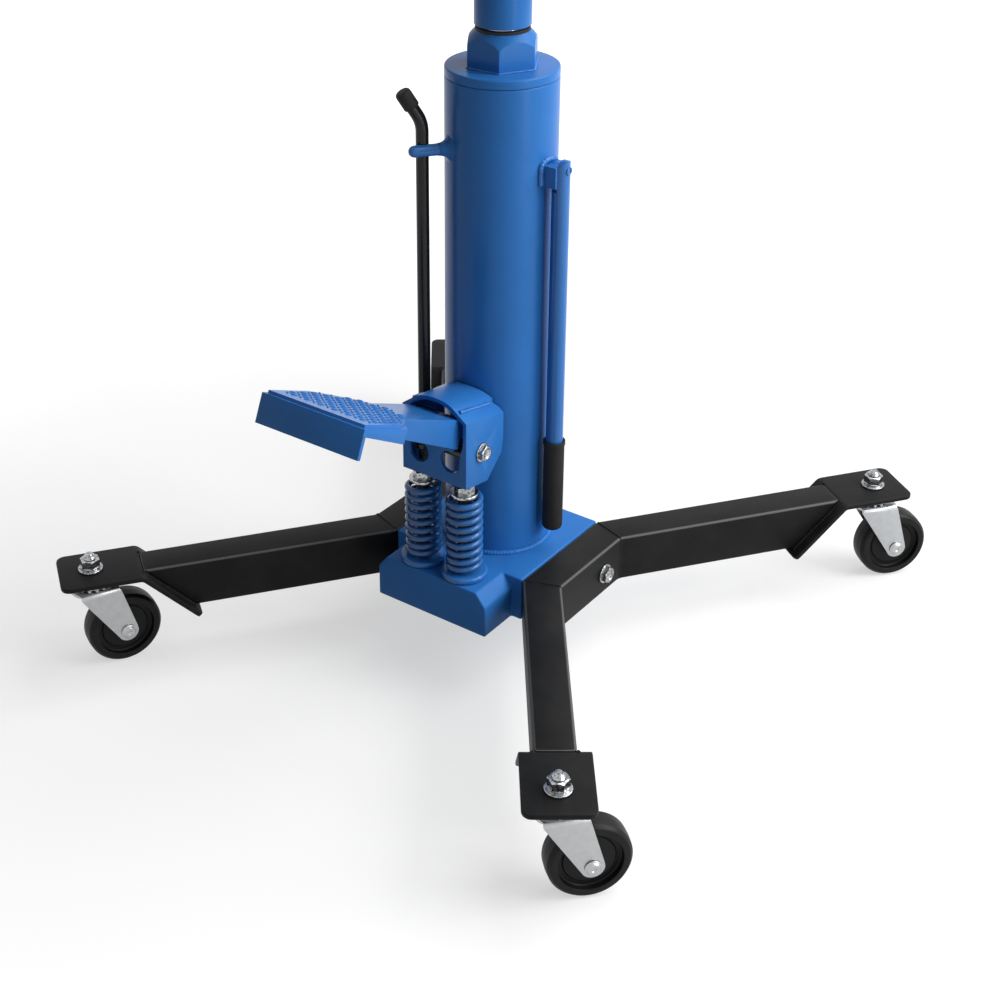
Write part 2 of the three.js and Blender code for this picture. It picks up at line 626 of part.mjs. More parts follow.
function columnHead() {
  const neck = COLUMN_RADIUS - COLUMN_WALL - GAP;
  const bore = GLAND_SPIGOT_RADIUS + GAP;
  const bevel = 1.5;
  const spigot = HEAD_BOTTOM - GLAND_SPIGOT;
  return turned([
    [CYLINDER_RADIUS + GAP, spigot], [neck, spigot], [neck, HEAD_BOTTOM], [COLUMN_RADIUS, HEAD_BOTTOM],
    [COLUMN_RADIUS, COLUMN_TOP - bevel], [COLUMN_RADIUS - bevel, COLUMN_TOP], [bore, COLUMN_TOP],
    [bore, HEAD_BOTTOM], [CYLINDER_RADIUS + GAP, HEAD_BOTTOM], [CYLINDER_RADIUS + GAP, spigot],
  ], ROUND_LARGE);
}

function pressureCylinder() {
  return tube(CYLINDER_RADIUS, CYLINDER_RADIUS - CYLINDER_WALL, COLUMN_FOOT, HEAD_BOTTOM - GAP);
}

function glandNut() {
  const bore = RAM_1_RADIUS + SLIDE_GAP;
  const bottom = COLUMN_TOP + GAP;
  const hexTop = bottom + GLAND_HEX;
  const corner = GLAND_FLATS / Math.sqrt(3);
  const flat = GLAND_FLATS / 2;
  const hex = solid(hexagon([0, 0, bottom], [0, 0, GLAND_TOP], GLAND_FLATS));
  // The dome takes the corners off the hexagon from a little below its top
  const dome = solid(turned([
    [0, bottom - 1], [corner + 1, bottom - 1], [corner + 1, hexTop - 3], [flat + 1, hexTop + 2],
    [flat - 2, hexTop + 6], [RAM_1_RADIUS + 4, GLAND_TOP], [0, GLAND_TOP],
  ], ROUND_LARGE));
  const spigot = solid(tube(GLAND_SPIGOT_RADIUS, bore, HEAD_BOTTOM - GLAND_SPIGOT / 2, bottom + 1));
  const hole = solid(bar([0, 0, 0], [0, 0, GLAND_TOP + 1], bore, ROUND_LARGE));
  return surface(join(cut(hex.intersect(dome), hole), spigot));
}

function piston(radius, bottom) {
  const groove = 2;
  const third = PISTON_HEIGHT / 3;
  return turned([
    [0, bottom], [radius, bottom], [radius, bottom + third], [radius - groove, bottom + third],
    [radius - groove, bottom + 2 * third], [radius, bottom + 2 * third], [radius, bottom + PISTON_HEIGHT],
    [0, bottom + PISTON_HEIGHT],
  ], ROUND_MEDIUM);
}

function ramCollar() {
  const socket = RAM_1_RADIUS + GAP;
  const bore = RAM_2_RADIUS + SLIDE_GAP;
  const bevel = 1.5;
  const ledge = COLLAR_BOTTOM + COLLAR_SOCKET;
  return turned([
    [socket, COLLAR_BOTTOM], [COLLAR_RADIUS, COLLAR_BOTTOM], [COLLAR_RADIUS, COLLAR_TOP - bevel],
    [COLLAR_RADIUS - bevel, COLLAR_TOP], [bore, COLLAR_TOP], [bore, ledge], [socket, ledge],
    [socket, COLLAR_BOTTOM],
  ], ROUND_LARGE);
}

function ramTwo() {
  const socket = SADDLE_STEM_RADIUS + SLIDE_GAP;
  const socketBottom = RAM_2_TOP - SADDLE_STEM_LENGTH - 2;
  const bevel = 2;
  return turned([
    [0, RAM_2_BOTTOM], [RAM_2_RADIUS, RAM_2_BOTTOM], [RAM_2_RADIUS, RAM_2_HEAD_BOTTOM],
    [RAM_2_HEAD_RADIUS, RAM_2_HEAD_BOTTOM], [RAM_2_HEAD_RADIUS, RAM_2_TOP - bevel],
    [RAM_2_HEAD_RADIUS - bevel, RAM_2_TOP], [socket, RAM_2_TOP], [socket, socketBottom],
    [0, socketBottom],
  ], ROUND_LARGE);
}

function saddle() {
  const ledge = SADDLE_TOP - SADDLE_RECESS;
  const stemBottom = SADDLE_BOTTOM - SADDLE_STEM_LENGTH;
  return turned([
    [0, stemBottom], [SADDLE_STEM_RADIUS, stemBottom], [SADDLE_STEM_RADIUS, SADDLE_BOTTOM],
    [RAM_2_HEAD_RADIUS, SADDLE_BOTTOM], [SADDLE_RADIUS, ledge - 2], [SADDLE_RADIUS, SADDLE_TOP],
    [SADDLE_RADIUS - SADDLE_RIM, SADDLE_TOP], [SADDLE_RADIUS - SADDLE_RIM, ledge], [0, ledge],
  ], ROUND_LARGE);
}

function saddlePad() {
  const radius = SADDLE_RADIUS - SADDLE_RIM - GAP;
  const bottom = SADDLE_TOP - SADDLE_RECESS + GAP;
  const top = bottom + PAD_HEIGHT;
  const bevel = 2;
  return turned([
    [0, bottom], [radius, bottom], [radius, top - bevel], [radius - bevel, top], [0, top],
  ], ROUND_LARGE);
}

// ---------------------------------------------------------------------------------------------
// Pump
// ---------------------------------------------------------------------------------------------
function pumpBarrel(side) {
  const bottom = BASE_TOP + GAP;
  const bevel = 1.5;
  const geometry = turned([
    [PLUNGER_RADIUS + SLIDE_GAP, bottom], [BARREL_RADIUS, bottom], [BARREL_RADIUS, BARREL_TOP - bevel],
    [BARREL_RADIUS - bevel, BARREL_TOP], [PLUNGER_RADIUS + SLIDE_GAP, BARREL_TOP],
    [PLUNGER_RADIUS + SLIDE_GAP, bottom],
  ]);
  geometry.translate(side * PLUNGER_X, PLUNGER_Y, 0);
  return geometry;
}

// Plunger with the washer and nut that hold its spring, and a head under the push pin
function pumpPlunger(side) {
  const washerBottom = SPRING_TOP + GAP;
  const washerTop = washerBottom + RETAINER_HEIGHT;
  const nutTop = washerTop + RETAINER_NUT_HEIGHT;
  const bevel = 1;
  const shaft = solid(turned([
    [0, BASE_TOP - PLUNGER_DEPTH], [PLUNGER_RADIUS, BASE_TOP - PLUNGER_DEPTH],
    [PLUNGER_RADIUS, washerBottom], [RETAINER_RADIUS, washerBottom], [RETAINER_RADIUS, washerTop],
    [PLUNGER_NECK_RADIUS, washerTop], [PLUNGER_NECK_RADIUS, PLUNGER_TOP - PLUNGER_HEAD_HEIGHT - 2],
    [PLUNGER_RADIUS, PLUNGER_TOP - PLUNGER_HEAD_HEIGHT], [PLUNGER_RADIUS, PLUNGER_TOP - bevel],
    [PLUNGER_RADIUS - bevel, PLUNGER_TOP], [0, PLUNGER_TOP],
  ], ROUND_SMALL));
  const nut = solid(hexagon([0, 0, washerTop - 0.5], [0, 0, nutTop], RETAINER_NUT_FLATS));
  const geometry = surface(join(shaft, nut));
  geometry.translate(side * PLUNGER_X, PLUNGER_Y, 0);
  return geometry;
}

// Helix with its ends laid flat
class Coil extends THREE.Curve {
  constructor(radius, bottom, top, turns) {
    super();
    Object.assign(this, { radius, bottom, top, turns });
  }

  getPoint(t) {
    const angle = 2 * Math.PI * this.turns * t;
    const flatTurns = 0.75;
    const rise = (this.turns * t - flatTurns) / (this.turns - 2 * flatTurns);
    const height = this.bottom + (this.top - this.bottom) * Math.min(Math.max(rise, 0), 1);
    const settle = SPRING_WIRE_RADIUS * 0.1 * t;
    return new THREE.Vector3(
      this.radius * Math.cos(angle), this.radius * Math.sin(angle), height + settle);
  }
}

function circleShape(radius, sides) {
  const points = [];
  for (let i = 0; i < sides; i += 1) {
    const angle = (2 * Math.PI * i) / sides;
    points.push([radius * Math.cos(angle), radius * Math.sin(angle)]);
  }
  return outline(points);
}

function returnSpring(side) {
  const bottom = BARREL_TOP + GAP + SPRING_WIRE_RADIUS;
  const top = SPRING_TOP - SPRING_WIRE_RADIUS * 1.2;
  const path = new Coil(SPRING_RADIUS - SPRING_WIRE_RADIUS, bottom, top, SPRING_TURNS);
  const geometry = new THREE.ExtrudeGeometry(circleShape(SPRING_WIRE_RADIUS, COIL_SIDES), {
    extrudePath: path,
    steps: Math.round(SPRING_TURNS * COIL_STEPS_PER_TURN),
    bevelEnabled: false,
  });
  geometry.translate(side * PLUNGER_X, PLUNGER_Y, 0);
  return geometry;
}

// Lug on the column that carries the pivot of the rocker
function pivotLug() {
  const profile = new THREE.Shape();
  const back = -COLUMN_RADIUS * Math.cos(Math.asin(LUG_HALF_WIDTH / COLUMN_RADIUS)) + 4;
  profile.moveTo(back, PIVOT_Z - LUG_RADIUS * 2);
  profile.lineTo(back, PIVOT_Z + LUG_RADIUS);
  profile.lineTo(PIVOT_Y, PIVOT_Z + LUG_RADIUS);
  profile.absarc(PIVOT_Y, PIVOT_Z, LUG_RADIUS, Math.PI / 2, Math.PI * 1.25, false);
  const block = solid(sideways(profile, -LUG_HALF_WIDTH, LUG_HALF_WIDTH));
  const column = solid(bar([0, 0, PIVOT_Z - 60], [0, 0, PIVOT_Z + 60], COLUMN_RADIUS + GAP, ROUND_LARGE));
  const hole = solid(bar(
    [-LUG_HALF_WIDTH - 1, PIVOT_Y, PIVOT_Z], [LUG_HALF_WIDTH + 1, PIVOT_Y, PIVOT_Z], PIVOT_RADIUS + SLIDE_GAP));
  return surface(cut(block, column, hole));
}

function pivotBolt() {
  const seat = ROCKER_HALF_WIDTH + GAP;
  const washerTop = seat + PIVOT_WASHER_HEIGHT;
  const shank = solid(bar([-seat - PIVOT_CLIP, PIVOT_Y, PIVOT_Z], [washerTop, PIVOT_Y, PIVOT_Z], PIVOT_RADIUS));
  const washer = solid(bar([seat, PIVOT_Y, PIVOT_Z], [washerTop, PIVOT_Y, PIVOT_Z], PIVOT_WASHER_RADIUS));
  const head = solid(hexagon(
    [washerTop - 0.5, PIVOT_Y, PIVOT_Z], [washerTop + PIVOT_HEAD, PIVOT_Y, PIVOT_Z], PIVOT_HEAD_FLATS));
  const clip = solid(bar([-seat - PIVOT_CLIP, PIVOT_Y, PIVOT_Z], [-seat, PIVOT_Y, PIVOT_Z], PIVOT_RADIUS + 3));
  return surface(join(shank, washer, head, clip));
}

function pushPin() {
  const end = ROCKER_HALF_WIDTH - ROCKER_SHEET - GAP;
  return bar([-end, PUSH_PIN_Y, PIVOT_Z], [end, PUSH_PIN_Y, PIVOT_Z], PUSH_PIN_RADIUS);
}

// Side view of the rocker, drawn in Y and Z and open above the roof
function rockerSide() {
  const foot = PIVOT_Z - ROCKER_FOOT;
  const sky = PIVOT_Z + ROCKER_TOP + ROCKER_ARCH * 2;
  const back = PIVOT_Y + ROCKER_BACK;
  return outline([
    [ROCKER_Y, foot], [PIVOT_Y + ROCKER_BELLY, foot - ROCKER_BELLY_DROP],
    [back - 2.5, PIVOT_Z - ROCKER_BACK_DROP], [back, PIVOT_Z], [back, sky], [ROCKER_Y, sky],
  ]);
}

// End views of the rocker, with its shoulders at zero: the cheeks with the shoulders folded in
// towards the roof, and the narrower arched roof between them
function cheekEnd(inset, foot) {
  const half = ROCKER_HALF_WIDTH - inset;
  const edge = ROCKER_ROOF_HALF - inset;
  const drop = inset * 0.51; // what an even wall takes off the fold of the shoulder
  return outline([
    [-half, foot], [half, foot], [half, -drop], [edge, ROCKER_ROOF_RISE - drop],
    [-edge, ROCKER_ROOF_RISE - drop], [-half, -drop],
  ]);
}

function roofEnd(inset, foot) {
  const half = ROCKER_ROOF_HALF - inset;
  const edge = ROCKER_ROOF_RISE - inset * 0.8;
  const crown = ROCKER_ARCH - inset;
  const profile = new THREE.Shape();
  profile.moveTo(-half, foot);
  profile.lineTo(half, foot);
  profile.lineTo(half, edge);
  profile.quadraticCurveTo(half * 0.7, crown, 0, crown);
  profile.quadraticCurveTo(-half * 0.7, crown, -half, edge);
  profile.lineTo(-half, foot);
  return profile;
}

// Rocker of folded sheet, open below and behind, with a mouth for the neck of the pedal
function rocker() {
  const wide = ROCKER_HALF_WIDTH + 5;
  const far = 150;
  const front = ROCKER_Y + ROCKER_SHEET;
  const sloped = (view, slope) => {
    const geometry = lengthways(view, -far, far);
    geometry.rotateX(-slope);
    geometry.translate(0, ROCKER_Y, PIVOT_Z + ROCKER_TOP);
    return solid(geometry);
  };
  const underRoof = (inset) => join(
    sloped(cheekEnd(inset, -far), ROCKER_SHOULDER_SLOPE), sloped(roofEnd(inset, -far), ROCKER_ROOF_SLOPE));
  const outside = underRoof(0).intersect(solid(sideways(rockerSide(), -wide, wide)));
  const side = ROCKER_HALF_WIDTH - ROCKER_SHEET;
  const sill = PIVOT_Z + SILL_HEIGHT;
  const halfMouth = [
    [wide, PIVOT_Z + far], [wide, sill + 5], [side - 0.5, sill + 4], [side - 6, PIVOT_Z - 10],
    [side - 15, PIVOT_Z - 12], [side - 11, sill],
  ];
  const otherHalf = halfMouth.map(([x, z]) => [-x, z]).reverse();
  const mouth = solid(lengthways(outline([...otherHalf, ...halfMouth].reverse()), ROCKER_Y - 1, front + 1));
  const behind = solid(box([-wide, front, PIVOT_Z - far], [wide, far, PIVOT_Z + far]));
  const room = underRoof(ROCKER_SHEET).intersect(join(behind, mouth));
  let body = cut(outside, room);
  for (const x of [-ROCKER_HOLE_X, ROCKER_HOLE_X]) {
    const z = PIVOT_Z - ROCKER_HOLE_DROP;
    const hole = bar([x, ROCKER_Y - 1, z], [x, front + 1, z], ROCKER_HOLE_RADIUS);
    body = cut(body, solid(hole));
  }
  const pivot = solid(bar([-wide, PIVOT_Y, PIVOT_Z], [wide, PIVOT_Y, PIVOT_Z], PIVOT_RADIUS + SLIDE_GAP));
  const column = solid(bar(
    [0, 0, PIVOT_Z - far], [0, 0, PIVOT_Z + far], COLUMN_RADIUS + ROCKER_CLEAR, ROUND_LARGE));
  return surface(cut(body, pivot, column));
}

// Plan outline of the pedal: neck, shoulders and wide part, drawn from the rocker along -Y
function pedalPlan(inset) {
  const neck = PEDAL_NECK_HALF - inset;
  const wide = PEDAL_HALF_WIDTH - inset;
  const half = [
    [neck, PEDAL_HEEL_DEPTH + inset], [neck, -PEDAL_NECK_LENGTH], [wide, -PEDAL_WIDE_FROM],
    [wide, -PEDAL_LENGTH + inset],
  ];
  const other = half.map(([x, y]) => [-x, y]).reverse();
  return outline([...other, ...half].reverse());
}

// Raised tread, straight in front and rounded towards the neck
function treadPlan() {
  const half = PEDAL_HALF_WIDTH - TREAD_INSET;
  const front = -PEDAL_LENGTH + TREAD_INSET;
  const plan = new THREE.Shape();
  plan.moveTo(-half, front);
  plan.lineTo(half, front);
  plan.lineTo(half, -PEDAL_WIDE_FROM - TREAD_INSET);
  plan.quadraticCurveTo(half * 0.5, -TREAD_FROM, 0, -TREAD_FROM);
  plan.quadraticCurveTo(-half * 0.5, -TREAD_FROM, -half, -PEDAL_WIDE_FROM - TREAD_INSET);
  return plan;
}

// Foot pedal of folded sheet: a channel for a neck, a wide end with a tread, and a lip turned down
function pedal() {
  const far = PEDAL_LENGTH * 2;
  const plate = solid(upright(pedalPlan(0), -PEDAL_NECK_DEPTH * 1.5, 0));
  const under = solid(upright(pedalPlan(PEDAL_SHEET), -PEDAL_NECK_DEPTH + PEDAL_SHEET, -PEDAL_SHEET));
  // The sides grow shallower towards the far end
  const taper = (PEDAL_NECK_DEPTH - PEDAL_RIM_DEPTH) / PEDAL_LENGTH;
  const below = solid(sideways(outline([
    [-far, -PEDAL_NECK_DEPTH + taper * far], [-far, -far], [far, -far],
    [far, -PEDAL_NECK_DEPTH - taper * far],
  ]), -far, far));
  const lip = solid(box(
    [-PEDAL_HALF_WIDTH, -PEDAL_LENGTH, -PEDAL_LIP],
    [PEDAL_HALF_WIDTH, -PEDAL_LENGTH + PEDAL_SHEET, -PEDAL_SHEET / 2]));
  const tread = solid(upright(treadPlan(), -PEDAL_SHEET / 2, TREAD_HEIGHT));
  const geometry = surface(join(cut(plate, below, under), lip, tread));
  geometry.rotateX(-PEDAL_SLOPE);
  geometry.translate(0, ROCKER_Y - GAP, PIVOT_Z + PEDAL_HEEL_HEIGHT);
  return geometry;
}

// ---------------------------------------------------------------------------------------------
// Release valve
// ---------------------------------------------------------------------------------------------

// Unit vector from the column to the rod
const rodOut = new THREE.Vector3(ROD_X, ROD_Y, 0).normalize();

function rodBendPoint() {
  return new THREE.Vector3(ROD_X, ROD_Y, BASE_TOP + ROD_STRAIGHT);
}

function rodDirection() {
  const up = new THREE.Vector3(0, 0, Math.cos(ROD_BEND));
  return rodOut.clone().multiplyScalar(Math.sin(ROD_BEND)).add(up);
}

// Valve spindle: screwed into the casting, with a hexagon that carries the rod
function releaseValve() {
  const seat = BASE_TOP + GAP;
  const spindle = solid(bar(
    [ROD_X, ROD_Y, BASE_TOP - VALVE_DEPTH], [ROD_X, ROD_Y, seat + VALVE_COLLAR], VALVE_RADIUS));
  const collar = solid(hexagon([ROD_X, ROD_Y, seat], [ROD_X, ROD_Y, seat + VALVE_COLLAR], VALVE_FLATS));
  return surface(join(spindle, collar));
}

function releaseRod() {
  const bend = rodBendPoint();
  const tip = bend.clone().addScaledVector(rodDirection(), ROD_TIP);
  const foot = [ROD_X, ROD_Y, BASE_TOP + 2 * GAP + VALVE_COLLAR];
  const straight = solid(bar(foot, bend.toArray(), ROD_RADIUS));
  const knuckle = new THREE.SphereGeometry(ROD_RADIUS, ROUND_SMALL, ROUND_SMALL / 2);
  knuckle.rotateX(Math.PI / 2);
  knuckle.rotateZ(Math.PI / ROUND_SMALL);
  knuckle.translate(bend.x, bend.y, bend.z);
  const bent = solid(bar(bend.toArray(), tip.toArray(), ROD_RADIUS));
  return surface(join(straight, solid(knuckle), bent));
}

function rodCap() {
  const along = rodDirection();
  const tip = rodBendPoint().addScaledVector(along, ROD_TIP);
  const mouth = tip.clone().addScaledVector(along, -ROD_CAP_LENGTH + ROD_CAP_WALL);
  const end = tip.clone().addScaledVector(along, ROD_CAP_WALL + GAP);
  const roof = tip.clone().addScaledVector(along, GAP);
  const cover = solid(bar(mouth.toArray(), end.toArray(), ROD_CAP_RADIUS));
  const start = mouth.clone().addScaledVector(along, -1);
  const hole = solid(bar(start.toArray(), roof.toArray(), ROD_RADIUS + GAP));
  return surface(cut(cover, hole));
}

// Guide on the column: a round bar with a round end, notched for the rod that it steadies
function rodGuide() {
  const z = BASE_TOP + GUIDE_HEIGHT;
  const beside = new THREE.Vector3(-rodOut.y, rodOut.x, 0).multiplyScalar(GUIDE_OFFSET).setZ(z);
  const tip = rodOut.clone().multiplyScalar(Math.hypot(ROD_X, ROD_Y) + GUIDE_REACH - GUIDE_RADIUS).add(beside);
  const root = rodOut.clone().multiplyScalar(COLUMN_RADIUS - 6).add(beside);
  const arm = solid(bar(root.toArray(), tip.toArray(), GUIDE_RADIUS));
  const end = new THREE.SphereGeometry(GUIDE_RADIUS, ROUND_SMALL, ROUND_SMALL / 2);
  end.rotateZ(Math.PI / 2);
  end.rotateZ(Math.atan2(rodOut.y, rodOut.x));
  end.translate(tip.x, tip.y, tip.z);
  const column = solid(bar([0, 0, z - 40], [0, 0, z + 40], COLUMN_RADIUS + GAP, ROUND_LARGE));
  const bore = ROD_RADIUS + GUIDE_BORE_GAP;
  const notch = solid(bar([ROD_X, ROD_Y, z - 40], [ROD_X, ROD_Y, z + 40], bore));
  return surface(cut(join(arm, solid(end)), column, notch));
}

// ---------------------------------------------------------------------------------------------
// Handle
// ---------------------------------------------------------------------------------------------
function handleLug() {
  const z = HANDLE_PIVOT_Z;
  const end = HANDLE_TONGUE_INSIDE - SLIDE_GAP;
  const back = COLUMN_RADIUS * 0.8;
  const block = solid(box(
    [back, -HANDLE_LUG_HALF, z - HANDLE_LUG_DROP], [end, HANDLE_LUG_HALF, z + HANDLE_LUG_RISE]));
  const column = solid(bar([0, 0, z - 60], [0, 0, z + 60], COLUMN_RADIUS + GAP, ROUND_LARGE));
  const hole = solid(bar([0, 0, z], [end + 1, 0, z], HANDLE_PIN_RADIUS + SLIDE_GAP));
  return surface(cut(block, column, hole));
}

function handlePin() {
  const start = COLUMN_RADIUS + 2 * GAP;
  const end = HANDLE_OUTSIDE + HANDLE_PIN_END;
  return bar([start, 0, HANDLE_PIVOT_Z], [end, 0, HANDLE_PIVOT_Z], HANDLE_PIN_RADIUS);
}

// Round bar, cut to a half-round tongue at its upper end that turns on the pin
function handleBar() {
  const z = HANDLE_PIVOT_Z;
  const bottom = GRIP_BOTTOM + GRIP_END + GAP;
  const shoulder = z - Math.hypot(HANDLE_LUG_HALF, HANDLE_LUG_DROP) - HANDLE_SWING;
  const shaft = solid(bar([HANDLE_X, 0, bottom], [HANDLE_X, 0, z + HANDLE_EYE_RADIUS * 2], HANDLE_RADIUS));
  const wide = HANDLE_RADIUS + 1;
  const inside = solid(box([HANDLE_X - wide, -wide, shoulder], [HANDLE_TONGUE_INSIDE, wide, z + 99]));
  const eye = solid(bar([HANDLE_X, 0, z], [HANDLE_OUTSIDE + 1, 0, z], HANDLE_EYE_RADIUS, ROUND_MEDIUM));
  const below = solid(box([HANDLE_X - wide, -wide, bottom - 1], [HANDLE_OUTSIDE + 1, wide, z]));
  const hole = solid(bar([0, 0, z], [HANDLE_X * 2, 0, z], HANDLE_PIN_RADIUS + SLIDE_GAP));
  return surface(cut(shaft.intersect(join(eye, below)), inside, hole));
}

function handleGrip() {
  const bottom = GRIP_BOTTOM;
  const top = bottom + GRIP_LENGTH;
  const bore = HANDLE_RADIUS + GAP;
  const geometry = turned([
    [0, bottom], [GRIP_RADIUS - 4, bottom], [GRIP_RADIUS, bottom + 4], [GRIP_RADIUS, top],
    [bore, top], [bore, bottom + GRIP_END], [0, bottom + GRIP_END],
  ], ROUND_SMALL);
  geometry.translate(HANDLE_X, 0, 0);
  return geometry;
}

// ---------------------------------------------------------------------------------------------
// Assembly
// ---------------------------------------------------------------------------------------------
const jack = new THREE.Group();

jack.add(mesh('base_casting', baseCasting(), 'blue'));
jack.add(mesh('filler_plug', fillerPlug(), 'zinc'));
jack.add(mesh('column_tube', columnTube(), 'blue'));
jack.add(mesh('column_head', columnHead(), 'blue'));
jack.add(mesh('pressure_cylinder', pressureCylinder(), 'steel'));
jack.add(mesh('gland_nut', glandNut(), 'blue'));
jack.add(mesh('ram_1_tube', tube(RAM_1_RADIUS, RAM_1_RADIUS - RAM_1_WALL, RAM_1_BOTTOM, RAM_1_TOP), 'chrome'));
jack.add(mesh('ram_1_collar', ramCollar(), 'blue'));
jack.add(mesh('ram_1_piston', piston(CYLINDER_RADIUS - CYLINDER_WALL - SLIDE_GAP, PISTON_1_BOTTOM), 'steel'));
jack.add(mesh('ram_2_rod', ramTwo(), 'chrome'));
jack.add(mesh('ram_2_piston', piston(RAM_1_RADIUS - RAM_1_WALL - SLIDE_GAP, PISTON_2_BOTTOM), 'steel'));
jack.add(mesh('saddle', saddle(), 'black'));
jack.add(mesh('saddle_pad', saddlePad(), 'rubber'));

for (const [side, name] of [[1, 'right'], [-1, 'left']]) {
  jack.add(mesh(`leg_frame_${name}`, legFrame(side), 'black'));
  jack.add(mesh(`leg_bolt_${name}`, legBolt(side), 'zinc'));
  jack.add(mesh(`pump_barrel_${name}`, pumpBarrel(side), 'blue'));
  jack.add(mesh(`pump_plunger_${name}`, pumpPlunger(side), 'zinc'));
  jack.add(mesh(`return_spring_${name}`, returnSpring(side), 'blue'));
}

for (const place of CASTERS) {
  jack.add(casterPlateAt(place));
  jack.add(caster(place));
}

jack.add(mesh('pivot_lug', pivotLug(), 'blue'));
jack.add(mesh('pivot_bolt', pivotBolt(), 'zinc'));
jack.add(mesh('rocker', rocker(), 'blue'));
jack.add(mesh('push_pin', pushPin(), 'zinc'));
jack.add(mesh('pedal', pedal(), 'blue'));

jack.add(mesh('release_valve', releaseValve(), 'zinc'));
jack.add(mesh('release_rod', releaseRod(), 'black'));
jack.add(mesh('release_rod_cap', rodCap(), 'rubber'));
jack.add(mesh('release_rod_guide', rodGuide(), 'blue'));

jack.add(mesh('handle_lug', handleLug(), 'blue'));
jack.add(mesh('handle_pin', handlePin(), 'blue'));
jack.add(mesh('handle_bar', handleBar(), 'blue'));
jack.add(mesh('handle_grip', handleGrip(), 'rubber'));

export default jack;
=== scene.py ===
"""Upright hydraulic jack on a caster base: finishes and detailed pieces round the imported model."""

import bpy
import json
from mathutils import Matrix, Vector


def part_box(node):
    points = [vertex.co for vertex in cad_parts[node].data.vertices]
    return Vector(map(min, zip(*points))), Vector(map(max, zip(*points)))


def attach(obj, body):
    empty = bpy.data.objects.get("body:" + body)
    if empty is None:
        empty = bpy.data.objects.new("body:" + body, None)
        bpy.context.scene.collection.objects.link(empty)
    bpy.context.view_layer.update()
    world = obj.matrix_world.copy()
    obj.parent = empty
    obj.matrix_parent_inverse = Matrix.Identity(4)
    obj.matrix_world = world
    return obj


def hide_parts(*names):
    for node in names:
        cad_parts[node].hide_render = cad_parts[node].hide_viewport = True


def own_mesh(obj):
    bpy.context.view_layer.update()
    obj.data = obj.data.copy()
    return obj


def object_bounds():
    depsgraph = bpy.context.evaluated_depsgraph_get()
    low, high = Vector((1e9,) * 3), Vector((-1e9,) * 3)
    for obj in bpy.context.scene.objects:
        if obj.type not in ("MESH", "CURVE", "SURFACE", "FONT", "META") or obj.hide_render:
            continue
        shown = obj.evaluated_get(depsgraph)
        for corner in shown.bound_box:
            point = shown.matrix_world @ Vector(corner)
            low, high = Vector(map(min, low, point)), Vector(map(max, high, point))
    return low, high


bl_info = {
    "name": "Upright hydraulic jack",
    "version": (1, 0, 0),
    "blender": (4, 5, 0),
    "location": "3D View > Sidebar > Jack",
    "description": "Builds the painted, plated and rubber pieces of an upright hydraulic jack",
    "category": "Object",
}

import functools
import json
import math

import bmesh
import bpy
from bpy.props import FloatProperty, FloatVectorProperty, IntProperty, PointerProperty
from mathutils import Matrix, Vector

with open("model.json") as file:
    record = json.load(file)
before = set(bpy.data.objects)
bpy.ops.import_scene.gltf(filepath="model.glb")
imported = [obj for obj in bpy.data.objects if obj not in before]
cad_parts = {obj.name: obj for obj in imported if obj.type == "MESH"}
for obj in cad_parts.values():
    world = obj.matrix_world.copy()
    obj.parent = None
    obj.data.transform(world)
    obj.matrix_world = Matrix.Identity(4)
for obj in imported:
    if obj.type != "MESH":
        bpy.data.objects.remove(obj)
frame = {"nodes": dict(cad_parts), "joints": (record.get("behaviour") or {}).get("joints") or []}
CAD_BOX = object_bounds()

MM = 0.001
TURN = 2 * math.pi
CORNERS = ("front_right", "rear_right", "front_left", "rear_left")
SIDES = {"right": 1, "left": -1}
IDENTITY = Matrix.Identity(4)
EVEN = (1, 1, 1)
# The gap that touching pieces keep, in millimetres
GAP = 0.3


# ==== Colours and nodes ====
def linear(code):
    """An sRGB hex colour as linear red, green and blue."""
    parts = [int(code[i:i + 2], 16) / 255 for i in (0, 2, 4)]
    return [c / 12.92 if c <= 0.04045 else ((c + 0.055) / 1.055) ** 2.4 for c in parts]


def shade(colour, factor):
    """A linear colour made darker or lighter, as a node's RGBA."""
    return (*[min(c * factor, 1) for c in colour], 1)


def per(size_mm):
    """The scale of a pattern whose features are this many millimetres across."""
    return 1 / (size_mm * MM)


def add(tree, kind, inputs=(), **settings):
    """Adds a node with its settings, and sets or links its inputs. A node stands for its first output."""
    made = tree.nodes.new(kind)
    for name, value in settings.items():
        setattr(made, name, value)
    for key, value in dict(inputs).items():
        if isinstance(value, bpy.types.Node):
            value = value.outputs[0]
        if isinstance(value, bpy.types.NodeSocket):
            tree.links.new(value, made.inputs[key])
        else:
            made.inputs[key].default_value = value
    return made


# ==== Settings ====
class JackColours(bpy.types.PropertyGroup):
    """Colours of the finishes."""

    enamel: FloatVectorProperty(
        name="Enamel", description="Sprayed enamel on the column, pump and pedal",
        subtype="COLOR", default=linear("2C6EB6"))
    coat: FloatVectorProperty(
        name="Powder coat", description="Powder coat on the legs, caster plates and release rod",
        subtype="COLOR", default=linear("181818"))
    zinc: FloatVectorProperty(
        name="Zinc", description="Zinc plate on the forks and fasteners",
        subtype="COLOR", default=linear("B4B6B8"))
    steel: FloatVectorProperty(
        name="Steel", description="Bare steel of the plungers, pins, pistons and race balls",
        subtype="COLOR", default=linear("9FA1A4"))
    chrome: FloatVectorProperty(
        name="Chrome", description="Hard chrome on the rams",
        subtype="COLOR", default=linear("D3D5D8"))
    rubber: FloatVectorProperty(
        name="Rubber", description="Grip, cap and saddle pad",
        subtype="COLOR", default=linear("1C1B1B"))
    nylon: FloatVectorProperty(
        name="Nylon", description="Moulded wheels", subtype="COLOR", default=linear("141415"))


